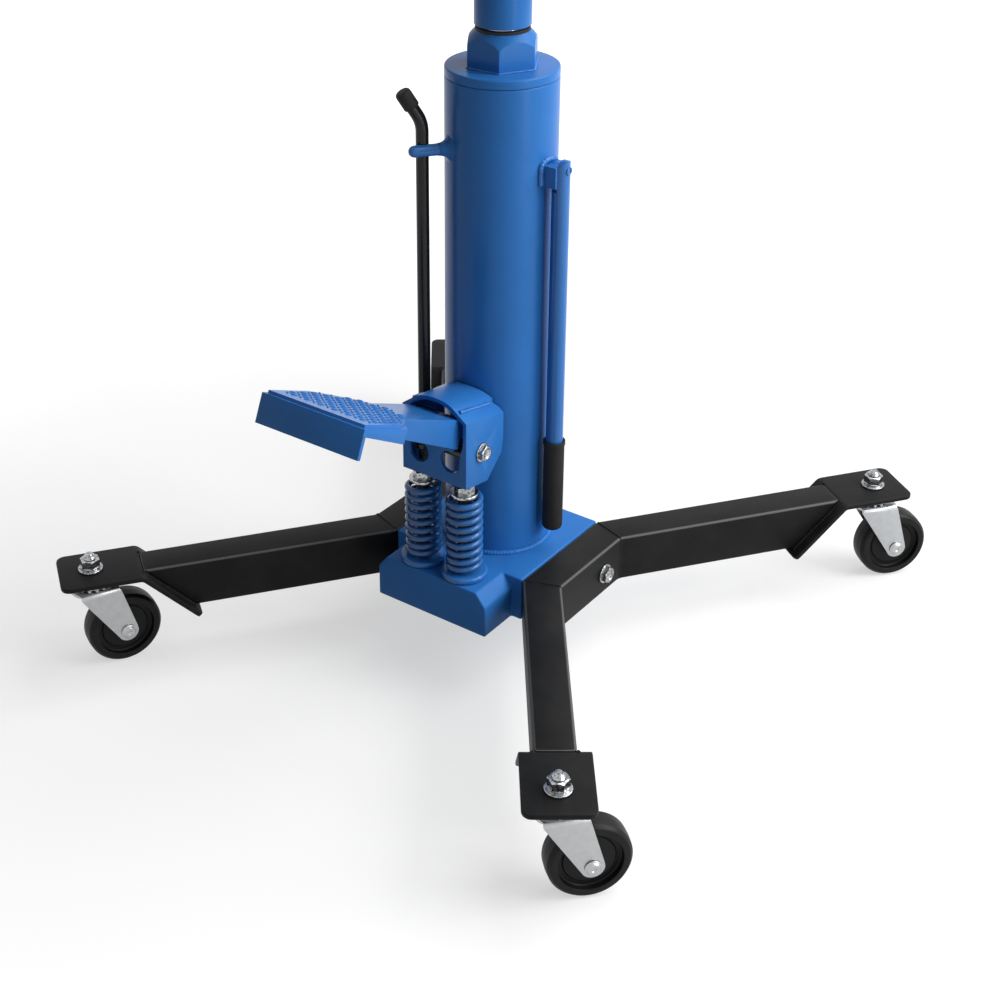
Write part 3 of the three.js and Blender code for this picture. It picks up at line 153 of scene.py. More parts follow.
class JackSizes(bpy.types.PropertyGroup):
    """Sizes of the details that the frame leaves open."""

    fold: FloatProperty(
        name="Fold radius", description="Outside radius of folded sheet",
        unit="LENGTH", default=3.2 * MM)
    edge: FloatProperty(
        name="Edge radius", description="Radius of sheared and cast edges under the paint",
        unit="LENGTH", default=0.9 * MM)
    tube_corner: FloatProperty(
        name="Tube corner", description="Corner radius of the rectangular leg tube",
        unit="LENGTH", default=3.4 * MM)
    bead: FloatProperty(
        name="Weld bead", description="Radius of a weld bead", unit="LENGTH", default=2.6 * MM)
    ripple: FloatProperty(
        name="Weld ripple", description="Distance between the ripples of a bead",
        unit="LENGTH", default=3 * MM)
    wire: FloatProperty(
        name="Spring wire", description="Radius of the wire of a return spring",
        unit="LENGTH", default=3.1 * MM)
    turns: FloatProperty(
        name="Spring turns", description="Turns of wire in a return spring", default=9.0)
    stud: FloatProperty(
        name="Tread pitch", description="Distance between the studs of the tread",
        unit="LENGTH", default=7.6 * MM)
    ribs: IntProperty(name="Pad ribs", description="Ribs round the saddle pad", default=28)


class JackStage(bpy.types.PropertyGroup):
    """Lights and floor."""

    key: FloatProperty(name="Key", description="Power of the wide side light, in watts", default=46)
    strip: FloatProperty(name="Strip", description="Power of the narrow upright light, in watts", default=8)
    top: FloatProperty(name="Top", description="Power of the light overhead, in watts", default=36)
    fill: FloatProperty(name="Fill", description="Strength of the even light all round", default=0.2)
    floor: FloatProperty(
        name="Floor", description="Share of the floor that stays white in shadow", default=0.55)


def colours():
    """The colours set in the panel."""
    return bpy.context.scene.jack_colours


def sizes():
    """The sizes set in the panel."""
    return bpy.context.scene.jack_sizes


# ==== Finishes ====
def begin(name, **values):
    """A material with its tree, its shader and the object's own coordinates."""
    material = bpy.data.materials.new(name)
    material.use_nodes = True
    tree = material.node_tree
    shader = tree.nodes["Principled BSDF"]
    for key, value in values.items():
        shader.inputs[key.replace("_", " ")].default_value = value
    return material, tree, shader, add(tree, "ShaderNodeTexCoord").outputs["Object"]


def dress(tree, shader, colour, rough, height, depth_mm):
    """Gives a shader its colour, its roughness and the relief of its skin."""
    relief = add(tree, "ShaderNodeBump", {"Height": height, "Distance": depth_mm * MM, "Strength": 1})
    tree.links.new(colour.outputs[2], shader.inputs["Base Color"])
    tree.links.new(rough.outputs[0], shader.inputs["Roughness"])
    tree.links.new(relief.outputs[0], shader.inputs["Normal"])


def enamel(name, grain_mm, grain_depth, gloss, shine, painted_shade_tone=1.0):
    """Enamel over steel: the coat drifts a little in depth of colour, and ripples like peel."""
    material, tree, shader, place = begin(name, IOR=1.5, Specular_IOR_Level=shine)
    # A tone below 1 darkens the whole coat as painted shade
    blue = [c * painted_shade_tone for c in colours().enamel]
    drift = add(tree, "ShaderNodeTexNoise", {"Vector": place, "Scale": per(55), "Detail": 2})
    body = add(tree, "ShaderNodeMix", {
        0: drift, 6: shade(blue, 0.88), 7: shade(blue, 1.1)}, data_type="RGBA")
    thin = add(tree, "ShaderNodeTexNoise", {"Vector": place, "Scale": per(7), "Detail": 4})
    spots = add(tree, "ShaderNodeMapRange", {
        "Value": thin, "From Min": 0.62, "From Max": 0.8, "To Max": 0.25})
    whole = add(tree, "ShaderNodeMix", {
        0: spots, 6: body.outputs[2], 7: shade(blue, 0.7)}, data_type="RGBA")
    rough = add(tree, "ShaderNodeMapRange", {
        "Value": drift, "To Min": gloss * 0.85, "To Max": gloss * 1.15})
    peel = add(tree, "ShaderNodeTexNoise", {
        "Vector": place, "Scale": per(grain_mm), "Detail": 2, "Roughness": 0.45})
    dress(tree, shader, whole, rough, peel, grain_depth)
    return material


def powder_coat(name, gloss, shine, edge_highlight=0.0):
    """Satin polyester powder: a fine pebble and dusty patches, and a painted highlight that may lighten the
    rounds of its upper edges.
    """
    material, tree, shader, place = begin(name, IOR=1.5, Specular_IOR_Level=shine)
    black = colours().coat
    dust = add(tree, "ShaderNodeTexNoise", {
        "Vector": place, "Scale": per(40), "Detail": 5, "Roughness": 0.6})
    dusty = add(tree, "ShaderNodeMapRange", {"Value": dust, "From Min": 0.4, "From Max": 0.75})
    body = add(tree, "ShaderNodeMix", {
        0: dusty, 6: shade(black, 0.85), 7: shade(black, 1.7)}, data_type="RGBA")
    if edge_highlight:
        # The round of an upper edge is where the normal is between level and upright; it is lightened there
        # toward pale grey as a painted highlight
        normal = add(tree, "ShaderNodeTexCoord").outputs["Normal"]
        upward = add(tree, "ShaderNodeSeparateXYZ", {0: normal}).outputs[2]
        outer = add(tree, "ShaderNodeMapRange", {
            "Value": upward, "From Min": 0.3, "From Max": 0.55, "To Max": edge_highlight})
        inner = add(tree, "ShaderNodeMapRange", {"Value": upward, "From Min": 0.97, "From Max": 0.85})
        edge = add(tree, "ShaderNodeMath", {0: outer, 1: inner}, operation="MULTIPLY")
        body = add(tree, "ShaderNodeMix", {
            0: edge, 6: body.outputs[2], 7: shade(black, 14)}, data_type="RGBA")
    rough = add(tree, "ShaderNodeMapRange", {"Value": dust, "To Min": gloss, "To Max": gloss * 1.45})
    pebble = add(tree, "ShaderNodeTexNoise", {"Vector": place, "Scale": per(1.1), "Detail": 2})
    dress(tree, shader, body, rough, pebble, 0.09)
    return material


def plated(name, colour, low, high, cloud_mm, stretch, depth, pits=0.0):
    """Bare metal: clouds of duller plating, fine marks that may run one way, and perhaps dark pits."""
    material, tree, shader, place = begin(name, Metallic=1.0)
    cloud = add(tree, "ShaderNodeTexNoise", {"Vector": place, "Scale": per(cloud_mm), "Detail": 3})
    body = add(tree, "ShaderNodeMix", {
        0: cloud, 6: shade(colour, 0.82), 7: shade(colour, 1.08)}, data_type="RGBA")
    if pits:
        dirt = add(tree, "ShaderNodeTexNoise", {"Vector": place, "Scale": per(2.4), "Detail": 2})
        spots = add(tree, "ShaderNodeMapRange", {
            "Value": dirt, "From Min": 0.5, "From Max": 0.62, "To Max": pits})
        body = add(tree, "ShaderNodeMix", {
            0: spots, 6: body.outputs[2], 7: shade(colour, 0.12)}, data_type="RGBA")
    rough = add(tree, "ShaderNodeMapRange", {"Value": cloud, "To Min": low, "To Max": high})
    along = add(tree, "ShaderNodeMapping", {"Vector": place, "Scale": stretch})
    marks = add(tree, "ShaderNodeTexNoise", {"Vector": along, "Scale": per(1.5), "Detail": 3})
    dress(tree, shader, body, rough, marks, depth)
    return material


def moulded(name, colour, low, high, grain_mm, depth, dust, shine):
    """Moulded rubber or nylon: a dull skin with a little grain, and dust that lightens it in places."""
    material, tree, shader, place = begin(name, IOR=1.5, Specular_IOR_Level=shine)
    cloud = add(tree, "ShaderNodeTexNoise", {"Vector": place, "Scale": per(16), "Detail": 4})
    dusty = add(tree, "ShaderNodeMapRange", {"Value": cloud, "From Min": 0.45, "From Max": 0.8})
    body = add(tree, "ShaderNodeMix", {
        0: dusty, 6: shade(colour, 0.9), 7: shade(colour, dust)}, data_type="RGBA")
    rough = add(tree, "ShaderNodeMapRange", {"Value": cloud, "To Min": low, "To Max": high})
    grain = add(tree, "ShaderNodeTexNoise", {"Vector": place, "Scale": per(grain_mm), "Detail": 2})
    dress(tree, shader, body, rough, grain, depth)
    return material


# Each finish with the slot of the frame that it dresses
FINISHES = {
    # Sprayed on tube and sheet: smooth, with a soft shine and a slight peel
    "enamel": ("blue_enamel", lambda: enamel("alkyd_enamel_sprayed", 2.2, 0.03, 0.3, 0.15)),
    # Pooled on welds, barrels and the handle: thick and wet-looking, with sharp highlights
    "gloss": ("blue_enamel", lambda: enamel("alkyd_enamel_pooled", 3, 0.03, 0.2, 0.3)),
    # Sprayed over spring wire: a copy of the enamel darkened all over as painted shade, with a hard shine
    "wire_enamel": ("blue_enamel", lambda: enamel("alkyd_enamel_on_wire", 3, 0.02, 0.12, 0.34, 0.75)),
    # Over sand-cast iron: the grain of the casting shows through
    "cast_enamel": ("blue_enamel", lambda: enamel("alkyd_enamel_on_cast_iron", 1.6, 0.12, 0.42, 0.12)),
    # On the caster plates, seams and saddle: even, dull and slightly dusty
    "coat": ("black_powder_coat", lambda: powder_coat("satin_powder_coat_black", 0.4, 0.1)),
    # On the legs: the same, with a painted highlight along the rounds of the long upper edges
    "tube_coat": ("black_powder_coat", lambda: powder_coat("satin_powder_coat_rubbed", 0.4, 0.1, 0.75)),
    # On the release rod: smoothed by hands, so it catches the light at its bend
    "rod_coat": ("black_powder_coat", lambda: powder_coat("satin_powder_coat_handled", 0.13, 0.2)),
    # Pressed steel with bright zinc: pale and slightly cloudy
    "zinc": ("zinc_plate", lambda: plated("bright_zinc_plate", colours().zinc, 0.26, 0.44, 6, EVEN, 0.03)),
    # Nuts and bolts: the same plate, dirty in its pits and threads
    "fastener": ("zinc_plate", lambda: plated(
        "zinc_plate_pitted", colours().zinc, 0.16, 0.34, 4, EVEN, 0.07, 0.7)),
    # Cylinder, pistons and race balls: grey, with fine rings from the lathe
    "steel": ("bright_steel", lambda: plated(
        "turned_steel", colours().steel, 0.22, 0.36, 9, (0.2, 0.2, 3), 0.03)),
    # The plungers and the pin inside the rocker: the steel darkened almost to black as painted shade, for
    # the shade they lie in
    "shaded_steel": ("bright_steel", lambda: plated(
        "oiled_steel", shade(colours().steel, 0.12)[:3], 0.4, 0.55, 9, EVEN, 0.03)),
    # Ground and plated rams: close to a mirror
    "chrome": ("hard_chrome", lambda: plated(
        "hard_chrome_ground", colours().chrome, 0.06, 0.13, 30, (0.2, 0.2, 4), 0.008)),
    # Grip, cap, wiper and pad: dull black with a fine grain
    "rubber": ("black_rubber", lambda: moulded(
        "nitrile_rubber_moulded", colours().rubber, 0.6, 0.75, 1.3, 0.06, 1.7, 0.22)),
    # Wheels: a smoother black with a faint sheen on the tread
    "nylon": ("wheel_plastic", lambda: moulded(
        "nylon_moulded_black", colours().nylon, 0.36, 0.52, 1.5, 0.03, 1.6, 0.16)),
}


@functools.cache
def finish(key):
    """The material of a finish, made once."""
    return FINISHES[key][1]()


# ==== Shapes, in millimetres ====
def box_mm(node):
    """Lowest and highest corner of a node of the frame, in millimetres."""
    low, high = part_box(node)
    return low / MM, high / MM


def joint_mm(name):
    """Position in millimetres and direction of a joint's axis."""
    joint = next(j for j in frame["joints"] if j["name"] == name)
    return Vector(joint["pos_m"]) / MM, Vector(joint["axis"])


def middle(node):
    """Middle of a node's box, in millimetres."""
    low, high = box_mm(node)
    return (low + high) / 2


def facing(at, direction):
    """A place at a point, with Z along a direction."""
    return Matrix.Translation(at) @ Vector(direction).to_track_quat("Z", "Y").to_matrix().to_4x4()


def rounded(points, radius, steps=5, closed=False):
    """The same line with a smooth curve in place of each corner."""
    points = [Vector(p) for p in points]
    count = len(points)
    radii = list(radius) if isinstance(radius, (list, tuple)) else [radius] * count
    if not closed:
        radii[0] = radii[-1] = 0
    made = []
    for i, corner in enumerate(points):
        before, after = (i - 1) % count, (i + 1) % count
        back, ahead = points[before] - corner, points[after] - corner
        if not radii[i] or back.angle(ahead) > math.radians(179):
            made.append(corner)
            continue
        room = [line.length * (0.49 if radii[k] else 0.98) for k, line in ((before, back), (after, ahead))]
        reach = min(radii[i] / math.tan(back.angle(ahead) / 2), *room)
        start, end = corner + back.normalized() * reach, corner + ahead.normalized() * reach
        for step in range(steps + 1):
            t = step / steps
            made.append(start * (1 - t) ** 2 + corner * (2 * t * (1 - t)) + end * t ** 2)
    return made


def turned(bm, rings, sides=72, place=IDENTITY):
    """Turns a profile about Z. Each ring is (radius, height), or a rule that gives them at an angle.
    The profile starts and ends on the axis, or closes on itself."""
    loops = []
    for ring in rings:
        if not callable(ring) and abs(ring[0]) < 1e-6:
            loops.append([bm.verts.new(place @ Vector((0, 0, ring[1])))])
            continue
        loop = []
        for i in range(sides):
            angle = TURN * i / sides
            radius, height = ring(angle) if callable(ring) else ring
            loop.append(bm.verts.new(
                place @ Vector((radius * math.cos(angle), radius * math.sin(angle), height))))
        loops.append(loop)
    pairs = list(zip(loops, loops[1:]))
    if len(loops[0]) > 1 and len(loops[-1]) > 1:
        pairs.append((loops[-1], loops[0]))
    for low, high in pairs:
        for i in range(sides):
            corners = []
            for loop, k in ((low, i), (low, i + 1), (high, i + 1), (high, i)):
                vert = loop[k % len(loop)]
                if vert not in corners:
                    corners.append(vert)
            if len(corners) > 2:
                bm.faces.new(corners)


def lathe(rings, sides=72, place=IDENTITY):
    """A turned shape by itself."""
    bm = bmesh.new()
    turned(bm, rings, sides, place)
    return bm


def lofted(bm, levels, place=IDENTITY):
    """Solid through outlines with the same number of points, each given with its height."""
    loops = [[bm.verts.new(place @ Vector((p[0], p[1], z))) for p in line] for line, z in levels]
    bm.faces.new(loops[0])
    bm.faces.new(loops[-1])
    for a, b in zip(loops, loops[1:]):
        for i in range(len(a)):
            j = (i + 1) % len(a)
            bm.faces.new((a[i], a[j], b[j], b[i]))


def strip(bm, line, widths, sheet, place=IDENTITY):
    """Bent sheet: follows a line drawn in Y and Z, with its own left and right edge in X at each point.
    The line is the outer face, and the sheet lies to its right."""
    stations = []
    for i, point in enumerate(line):
        along = (Vector(line[min(i + 1, len(line) - 1)]) - Vector(line[max(i - 1, 0)])).normalized()
        inward = Vector((along.y, -along.x)) * sheet
        stations.append([
            bm.verts.new(place @ Vector((x, point[0] + shift.x, point[1] + shift.y)))
            for shift in (Vector((0, 0)), inward) for x in widths[i]
        ])
    for a, b in zip(stations, stations[1:]):
        for i, j in ((0, 1), (1, 3), (3, 2), (2, 0)):
            bm.faces.new((a[i], a[j], b[j], b[i]))
    for end in (stations[0], stations[-1]):
        bm.faces.new((end[0], end[1], end[3], end[2]))


def swept(bm, path, radius, sides=20):
    """Round bar along a path."""
    path = [Vector(p) for p in path]
    loops, side = [], None
    for i, point in enumerate(path):
        along = (path[min(i + 1, len(path) - 1)] - path[max(i - 1, 0)]).normalized()
        if side is None:
            side = along.orthogonal().normalized()
        side = (side - along * side.dot(along)).normalized()
        other = along.cross(side)
        angles = [TURN * k / sides for k in range(sides)]
        loops.append([
            bm.verts.new(point + (side * math.cos(a) + other * math.sin(a)) * radius) for a in angles])
    for a, b in zip(loops, loops[1:]):
        for k in range(sides):
            m = (k + 1) % sides
            bm.faces.new((a[k], a[m], b[m], b[k]))
    bm.faces.new(loops[0])
    bm.faces.new(loops[-1])


def reach_of_hexagon(flats, angle):
    """Distance from the middle of a hexagon to its side, at an angle. Its flats face along X."""
    sector = (angle + TURN / 12) % (TURN / 6) - TURN / 12
    return flats / 2 / math.cos(sector)


def hexagon_head(bm, flats, low, high, place=IDENTITY, bore=0, crown=0.93, dish=0):
    """Hexagon head or nut with its corners taken off at 30 degrees, and a dish or a bore in the top."""
    edge = flats / 2 * crown

    def shoulder(angle):
        reach = reach_of_hexagon(flats, angle)
        return reach, high - (reach - edge) * math.tan(math.radians(30))

    rings = [lambda angle: (reach_of_hexagon(flats, angle), low), shoulder, (edge, high)]
    if bore:
        rings += [(bore + 0.8, high), (bore, high - 0.8), (bore, low)]
    else:
        rings = [(0, low), *rings, (edge * 0.8, high), (edge * 0.7, high - dish), (0, high - dish)]
    turned(bm, rings, 72, place)


def thread(radius, low, high, pitch=1.5):
    """Profile of a threaded stud, with a point turned on its end."""
    points, z = [], low
    while z + pitch < high - 1.2:
        points += [(radius - 0.7, z), (radius, z + pitch / 2)]
        z += pitch
    return [*points, (radius - 0.7, z), (radius - 0.5, high - 1), (radius - 1.6, high)]


def merged(node):
    """A node of the frame as a clean shape: doubles merged, and flat faces made whole."""
    bm = bmesh.new()
    bm.from_mesh(frame["nodes"][node].data)
    bmesh.ops.scale(bm, vec=(1 / MM,) * 3, verts=bm.verts)
    bmesh.ops.remove_doubles(bm, verts=bm.verts, dist=0.01)
    bmesh.ops.recalc_face_normals(bm, faces=bm.faces)
    bmesh.ops.dissolve_limit(bm, angle_limit=math.radians(0.6), verts=bm.verts, edges=bm.edges)
    return bm


def ease(bm, fold, edge, sheet=5.5):
    """Marks how far each edge is rounded: folds fully, and the sheared edges of the sheet a little."""
    weights = bm.edges.layers.float.new("bevel_weight_edge")
    for e in bm.edges:
        if len(e.link_faces) != 2 or e.calc_face_angle() < math.radians(33):
            continue
        depth = min(face.calc_area() for face in e.link_faces) / e.calc_length()
        is_fold = depth > sheet and e.is_convex
        e[weights] = 1 if is_fold else edge / fold
    return bm


# ==== Pieces ====
def settle(obj):
    """Applies an object's modifiers, so that its mesh is the finished one."""
    graph = bpy.context.evaluated_depsgraph_get()
    mesh = bpy.data.meshes.new_from_object(obj.evaluated_get(graph))
    obj.modifiers.clear()
    obj.data = mesh
    return mesh


def linked(name, data):
    """A new object in the scene."""
    obj = bpy.data.objects.new(name, data)
    bpy.context.scene.collection.objects.link(obj)
    return obj


def in_metres(name, shape):
    """A shape in millimetres as a mesh in metres, with its faces turned outward."""
    bmesh.ops.recalc_face_normals(shape, faces=shape.faces)
    mesh = bpy.data.meshes.new(name)
    shape.to_mesh(mesh)
    shape.free()
    mesh.transform(Matrix.Scale(MM, 4))
    return mesh


def piece(name, shape, key, body, stands_for=(), bevel=0.0, weighted=False, sharp=35, steps=3):
    """A finished piece: its shape, its finish, the body it rides on and the nodes it stands for."""
    mesh = in_metres(name, shape) if isinstance(shape, bmesh.types.BMesh) else shape
    mesh.name = name
    mesh.materials.clear()
    mesh.materials.append(finish(key))
    obj = linked(name, mesh)
    if bevel:
        modifier = obj.modifiers.new("ease", "BEVEL")
        modifier.width, modifier.segments = bevel, steps
        modifier.limit_method = "WEIGHT" if weighted else "ANGLE"
        modifier.angle_limit = math.radians(33)
        modifier.miter_outer = "MITER_ARC"
        modifier.use_clamp_overlap = True
        mesh = settle(obj)
    mesh.shade_smooth()
    mesh.set_sharp_from_angle(angle=math.radians(sharp))
    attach(obj, body)
    if stands_for:
        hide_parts(*stands_for)
    return obj


def keep(node, key):
    """Leaves a node of the frame as it is, with a better finish."""
    obj = frame["nodes"][node]
    for slot in obj.material_slots:
        slot.material = finish(key)


# ==== Geometry Nodes ====
def tree_with(name, inputs):
    """A Geometry Nodes tree with its named inputs. Gives it, its inputs and a call that ends it."""
    tree = bpy.data.node_groups.new(name, "GeometryNodeTree")
    tree.interface.new_socket("Geometry", in_out="OUTPUT", socket_type="NodeSocketGeometry")
    tree.interface.new_socket("Geometry", in_out="INPUT", socket_type="NodeSocketGeometry")
    for label, kind in inputs.items():
        tree.interface.new_socket(label, in_out="INPUT", socket_type="NodeSocket" + kind)
    start = add(tree, "NodeGroupInput").outputs

    def finish_with(shape):
        """Ends the tree in real geometry with its finish on."""
        real = add(tree, "GeometryNodeRealizeInstances", {"Geometry": shape})
        dressed = add(tree, "GeometryNodeSetMaterial", {"Geometry": real, "Material": start["Finish"]})
        add(tree, "NodeGroupOutput", {"Geometry": dressed})
        return tree

    return tree, start, finish_with


@functools.cache
def wire_tree():
    """Wire or weld bead along a line of edges. A bead swells at each ripple and wanders a little."""
    tree, start, finish_with = tree_with("wire_along_line", {
        "Radius": "Float", "Sides": "Int", "Ripple": "Float", "Steps per ripple": "Float",
        "Wander": "Float", "Seed": "Float", "Finish": "Material"})
    line = add(tree, "GeometryNodeMeshToCurve", {"Mesh": start["Geometry"]})
    place = add(tree, "GeometryNodeInputPosition")
    cloud = add(tree, "ShaderNodeTexNoise", {
        "Vector": place, "W": start["Seed"], "Scale": per(5), "Detail": 1}, noise_dimensions="4D")
    centred = add(tree, "ShaderNodeVectorMath", {
        0: cloud.outputs["Color"], 1: (0.5, 0.5, 0.5)}, operation="SUBTRACT")
    offset = add(tree, "ShaderNodeVectorMath", {0: centred, "Scale": start["Wander"]}, operation="SCALE")
    moved = add(tree, "GeometryNodeSetPosition", {"Geometry": line, "Offset": offset})
    index = add(tree, "GeometryNodeInputIndex")
    phase = add(tree, "ShaderNodeMath", {0: index, 1: start["Steps per ripple"]}, operation="DIVIDE")
    turn = add(tree, "ShaderNodeMath", {0: phase, 1: TURN}, operation="MULTIPLY")
    wave = add(tree, "ShaderNodeMath", {0: turn}, operation="SINE")
    swell = add(tree, "ShaderNodeMath", {
        0: wave, 1: start["Ripple"], 2: 1.0}, operation="MULTIPLY_ADD")
    ring = add(tree, "GeometryNodeCurvePrimitiveCircle", {
        "Resolution": start["Sides"], "Radius": start["Radius"]})
    return finish_with(add(tree, "GeometryNodeCurveToMesh", {
        "Curve": moved, "Profile Curve": ring, "Scale": swell, "Fill Caps": True}))


@functools.cache
def stud_tree():
    """Low oval studs in staggered rows over a flat plate, each turned across its neighbour."""
    tree, start, finish_with = tree_with("studs_on_plate", {
        "Pitch": "Float", "Length": "Float", "Width": "Float", "Height": "Float",
        "Columns": "Int", "Rows": "Int", "Finish": "Material"})
    spans = []
    for count in ("Columns", "Rows"):
        gaps = add(tree, "ShaderNodeMath", {0: start[count], 1: 1.0}, operation="SUBTRACT")
        spans.append(add(tree, "ShaderNodeMath", {0: gaps, 1: start["Pitch"]}, operation="MULTIPLY"))
    grid = add(tree, "GeometryNodeMeshGrid", {
        "Size X": spans[0], "Size Y": spans[1],
        "Vertices X": start["Columns"], "Vertices Y": start["Rows"]})
    place = add(tree, "GeometryNodeInputPosition")
    parts = add(tree, "ShaderNodeSeparateXYZ", {0: place}).outputs
    along = add(tree, "ShaderNodeMath", {0: parts[0], 1: parts[1]}, operation="ADD")
    steps = add(tree, "ShaderNodeMath", {0: along, 1: start["Pitch"]}, operation="DIVIDE")
    whole = add(tree, "ShaderNodeMath", {0: steps}, operation="ROUND")
    odd = add(tree, "ShaderNodeMath", {0: whole, 1: 2.0}, operation="FLOORED_MODULO")
    above = add(tree, "ShaderNodeVectorMath", {0: place, 1: (0, 0, 0.01)}, operation="ADD")
    hit = add(tree, "GeometryNodeRaycast", {
        "Target Geometry": start["Geometry"], "Source Position": above,
        "Ray Direction": (0, 0, -1), "Ray Length": 0.1}).outputs["Is Hit"]
    miss = add(tree, "FunctionNodeBooleanMath", {0: hit}, operation="NOT")
    inside = add(tree, "GeometryNodeDeleteGeometry", {"Geometry": grid, "Selection": miss})
    ball = add(tree, "GeometryNodeMeshUVSphere", {"Segments": 16, "Rings": 8, "Radius": 1.0})
    size = add(tree, "ShaderNodeCombineXYZ", {
        0: start["Length"], 1: start["Width"], 2: start["Height"]})
    lens = add(tree, "GeometryNodeTransform", {"Geometry": ball, "Scale": size})
    swing = add(tree, "ShaderNodeMath", {
        0: odd, 1: TURN / 4, 2: -TURN / 8}, operation="MULTIPLY_ADD")
    turn = add(tree, "ShaderNodeCombineXYZ", {2: swing})
    return finish_with(add(tree, "GeometryNodeInstanceOnPoints", {
        "Points": inside, "Instance": lens, "Rotation": turn}))


@functools.cache
def repeat_tree():
    """One shape repeated at each point of a mesh, turned as the point's own 'turn' says."""
    tree, start, finish_with = tree_with("shape_at_points", {"Shape": "Object", "Finish": "Material"})
    info = add(tree, "GeometryNodeObjectInfo", {"Object": start["Shape"]})
    turn = add(tree, "GeometryNodeInputNamedAttribute", {"Name": "turn"}, data_type="FLOAT_VECTOR")
    return finish_with(add(tree, "GeometryNodeInstanceOnPoints", {
        "Points": start["Geometry"], "Instance": info.outputs["Geometry"], "Rotation": turn}))


def grown(name, source, maker, key, **values):
    """Runs a Geometry Nodes tree on a mesh in metres, and gives the plain mesh that it makes."""
    holder = linked(name + "_source", source)
    modifier = holder.modifiers.new("shape", "NODES")
    modifier.node_group = maker()
    values["Finish"] = finish(key)
    for item in modifier.node_group.interface.items_tree:
        label = item.name.replace(" ", "_")
        if item.in_out == "INPUT" and label in values:
            modifier[item.identifier] = values[label]
    mesh = settle(holder)
    bpy.data.objects.remove(holder)
    return mesh


def line_mesh(lines):
    """Lines in millimetres as a mesh of edges in metres. Each is (points, closed)."""
    mesh = bpy.data.meshes.new("line")
    points, edges = [], []
    for line, closed in lines:
        first = len(points)
        points += [Vector(p) * MM for p in line]
        edges += [(first + i, first + i + 1) for i in range(len(line) - 1)]
        if closed:
            edges.append((len(points) - 1, first))
    mesh.from_pydata(points, edges, [])
    return mesh


def spaced(points, step, closed=False):
    """Points set evenly along a line."""
    points = [Vector(p) for p in points]
    if closed:
        points.append(points[0])
    marks = [0.0]
    for a, b in zip(points, points[1:]):
        marks.append(marks[-1] + (b - a).length)
    count = max(2, round(marks[-1] / step))
    made, k = [], 0
    for i in range(count if closed else count + 1):
        at = marks[-1] * i / count
        while k < len(points) - 2 and marks[k + 1] < at:
            k += 1
        share = (at - marks[k]) / max(marks[k + 1] - marks[k], 1e-9)
        made.append(points[k].lerp(points[k + 1], min(share, 1)))
    return made


def weld(name, lines, key, body, size=1.0, seed=1, ripple=0.12):
    """Weld beads along lines, each (points, closed)."""
    ripple_steps = 6
    step = sizes().ripple / MM / ripple_steps
    even = [(spaced(points, step, closed), closed) for points, closed in lines]
    mesh = grown(
        name, line_mesh(even), wire_tree, key, Radius=sizes().bead * size, Sides=10, Ripple=ripple,
        Steps_per_ripple=float(ripple_steps), Wander=0.9 * MM * size, Seed=float(seed))
    return piece(name, mesh, key, body, sharp=80)


def repeated(name, shape, key, places):
    """One shape, in millimetres, at several places."""
    model = linked(name + "_shape", in_metres(name + "_shape", shape))
    points = bpy.data.meshes.new(name + "_points")
    points.from_pydata([place.translation * MM for place in places], [], [])
    turn = points.attributes.new("turn", "FLOAT_VECTOR", "POINT")
    for item, place in zip(turn.data, places):
        item.vector = place.to_euler()
    result = grown(name, points, repeat_tree, key, Shape=model)
    bpy.data.objects.remove(model)
    return result


# ==== Base casting and column ====
class JACK_OT_base(bpy.types.Operator):
    """Cast base with its chamfered nose, and the filler plug behind it"""

    bl_idname = "jack.base"
    bl_label = "Base casting"

    def execute(self, context):
        low, high = box_mm("base_casting")
        # The nose is narrower than the body, and chamfered along both its upper edges
        nose, across, down = 64.5, 11, 13.6

        def outline(half):
            front = [(-high.x, -high.y), (-half, -high.y), (-half, low.y)]
            return [*front, *[(-x, y) for x, y in reversed(front)], (high.x, high.y), (-high.x, high.y)]

        top = outline(nose - across)
        shape = bmesh.new()
        lofted(shape, [(outline(nose), low.z), (outline(nose), high.z - down), (top, high.z)])
        piece("base_casting_painted", shape, "cast_enamel", "stand", ["base_casting"],
              bevel=1.8 * MM, steps=4, sharp=40)
        low, high = box_mm("filler_plug")
        out = facing((0, low.y, (low.z + high.z) / 2), (0, 1, 0))
        plug = lathe(rounded([(0, 0), (9, 0), (9, 3), (0, 3)], 0.7), 48, out)
        hexagon_head(plug, 14, 2.8, high.y - low.y, out, dish=1.5)
        piece("filler_plug_plated", plug, "fastener", "stand", ["filler_plug"], bevel=0.35 * MM, steps=2)
        return {"FINISHED"}


class JACK_OT_column(bpy.types.Operator):
    """Column tube and its head, with the weld round the foot"""

    bl_idname = "jack.column"
    bl_label = "Column"

    def execute(self, context):
        low, high = box_mm("column_tube")
        radius, wall = high.x, 4.5
        tube = lathe(rounded([
            (radius - wall, low.z), (radius, low.z), (radius, high.z), (radius - wall, high.z),
        ], [0.9, 0.9, 1.7, 0.5], closed=True), 160)
        piece("column_painted", tube, "enamel", "stand", ["column_tube"])
        low, high = box_mm("column_head")
        seat = high.z - 8.5
        head = lathe(rounded([
            (33.3, low.z), (radius - wall - 0.3, low.z), (radius - wall - 0.3, seat), (radius, seat),
            (radius, high.z), (27, high.z), (27, seat + 1), (33.3, seat + 1),
        ], [0, 0, 0, 0.6, 2, 0.4, 0, 0], closed=True), 160)
        piece("column_head_painted", head, "enamel", "stand", ["column_head"])
        reach, height, steps = radius + 0.9, box_mm("base_casting")[1].z + 1.1, 90
        foot = [
            Vector((reach * math.cos(TURN * i / steps), reach * math.sin(TURN * i / steps), height))
            for i in range(steps)
        ]
        weld("column_foot_weld", [(foot, True)], "enamel", "stand", size=1.05, ripple=0.05)
        return {"FINISHED"}


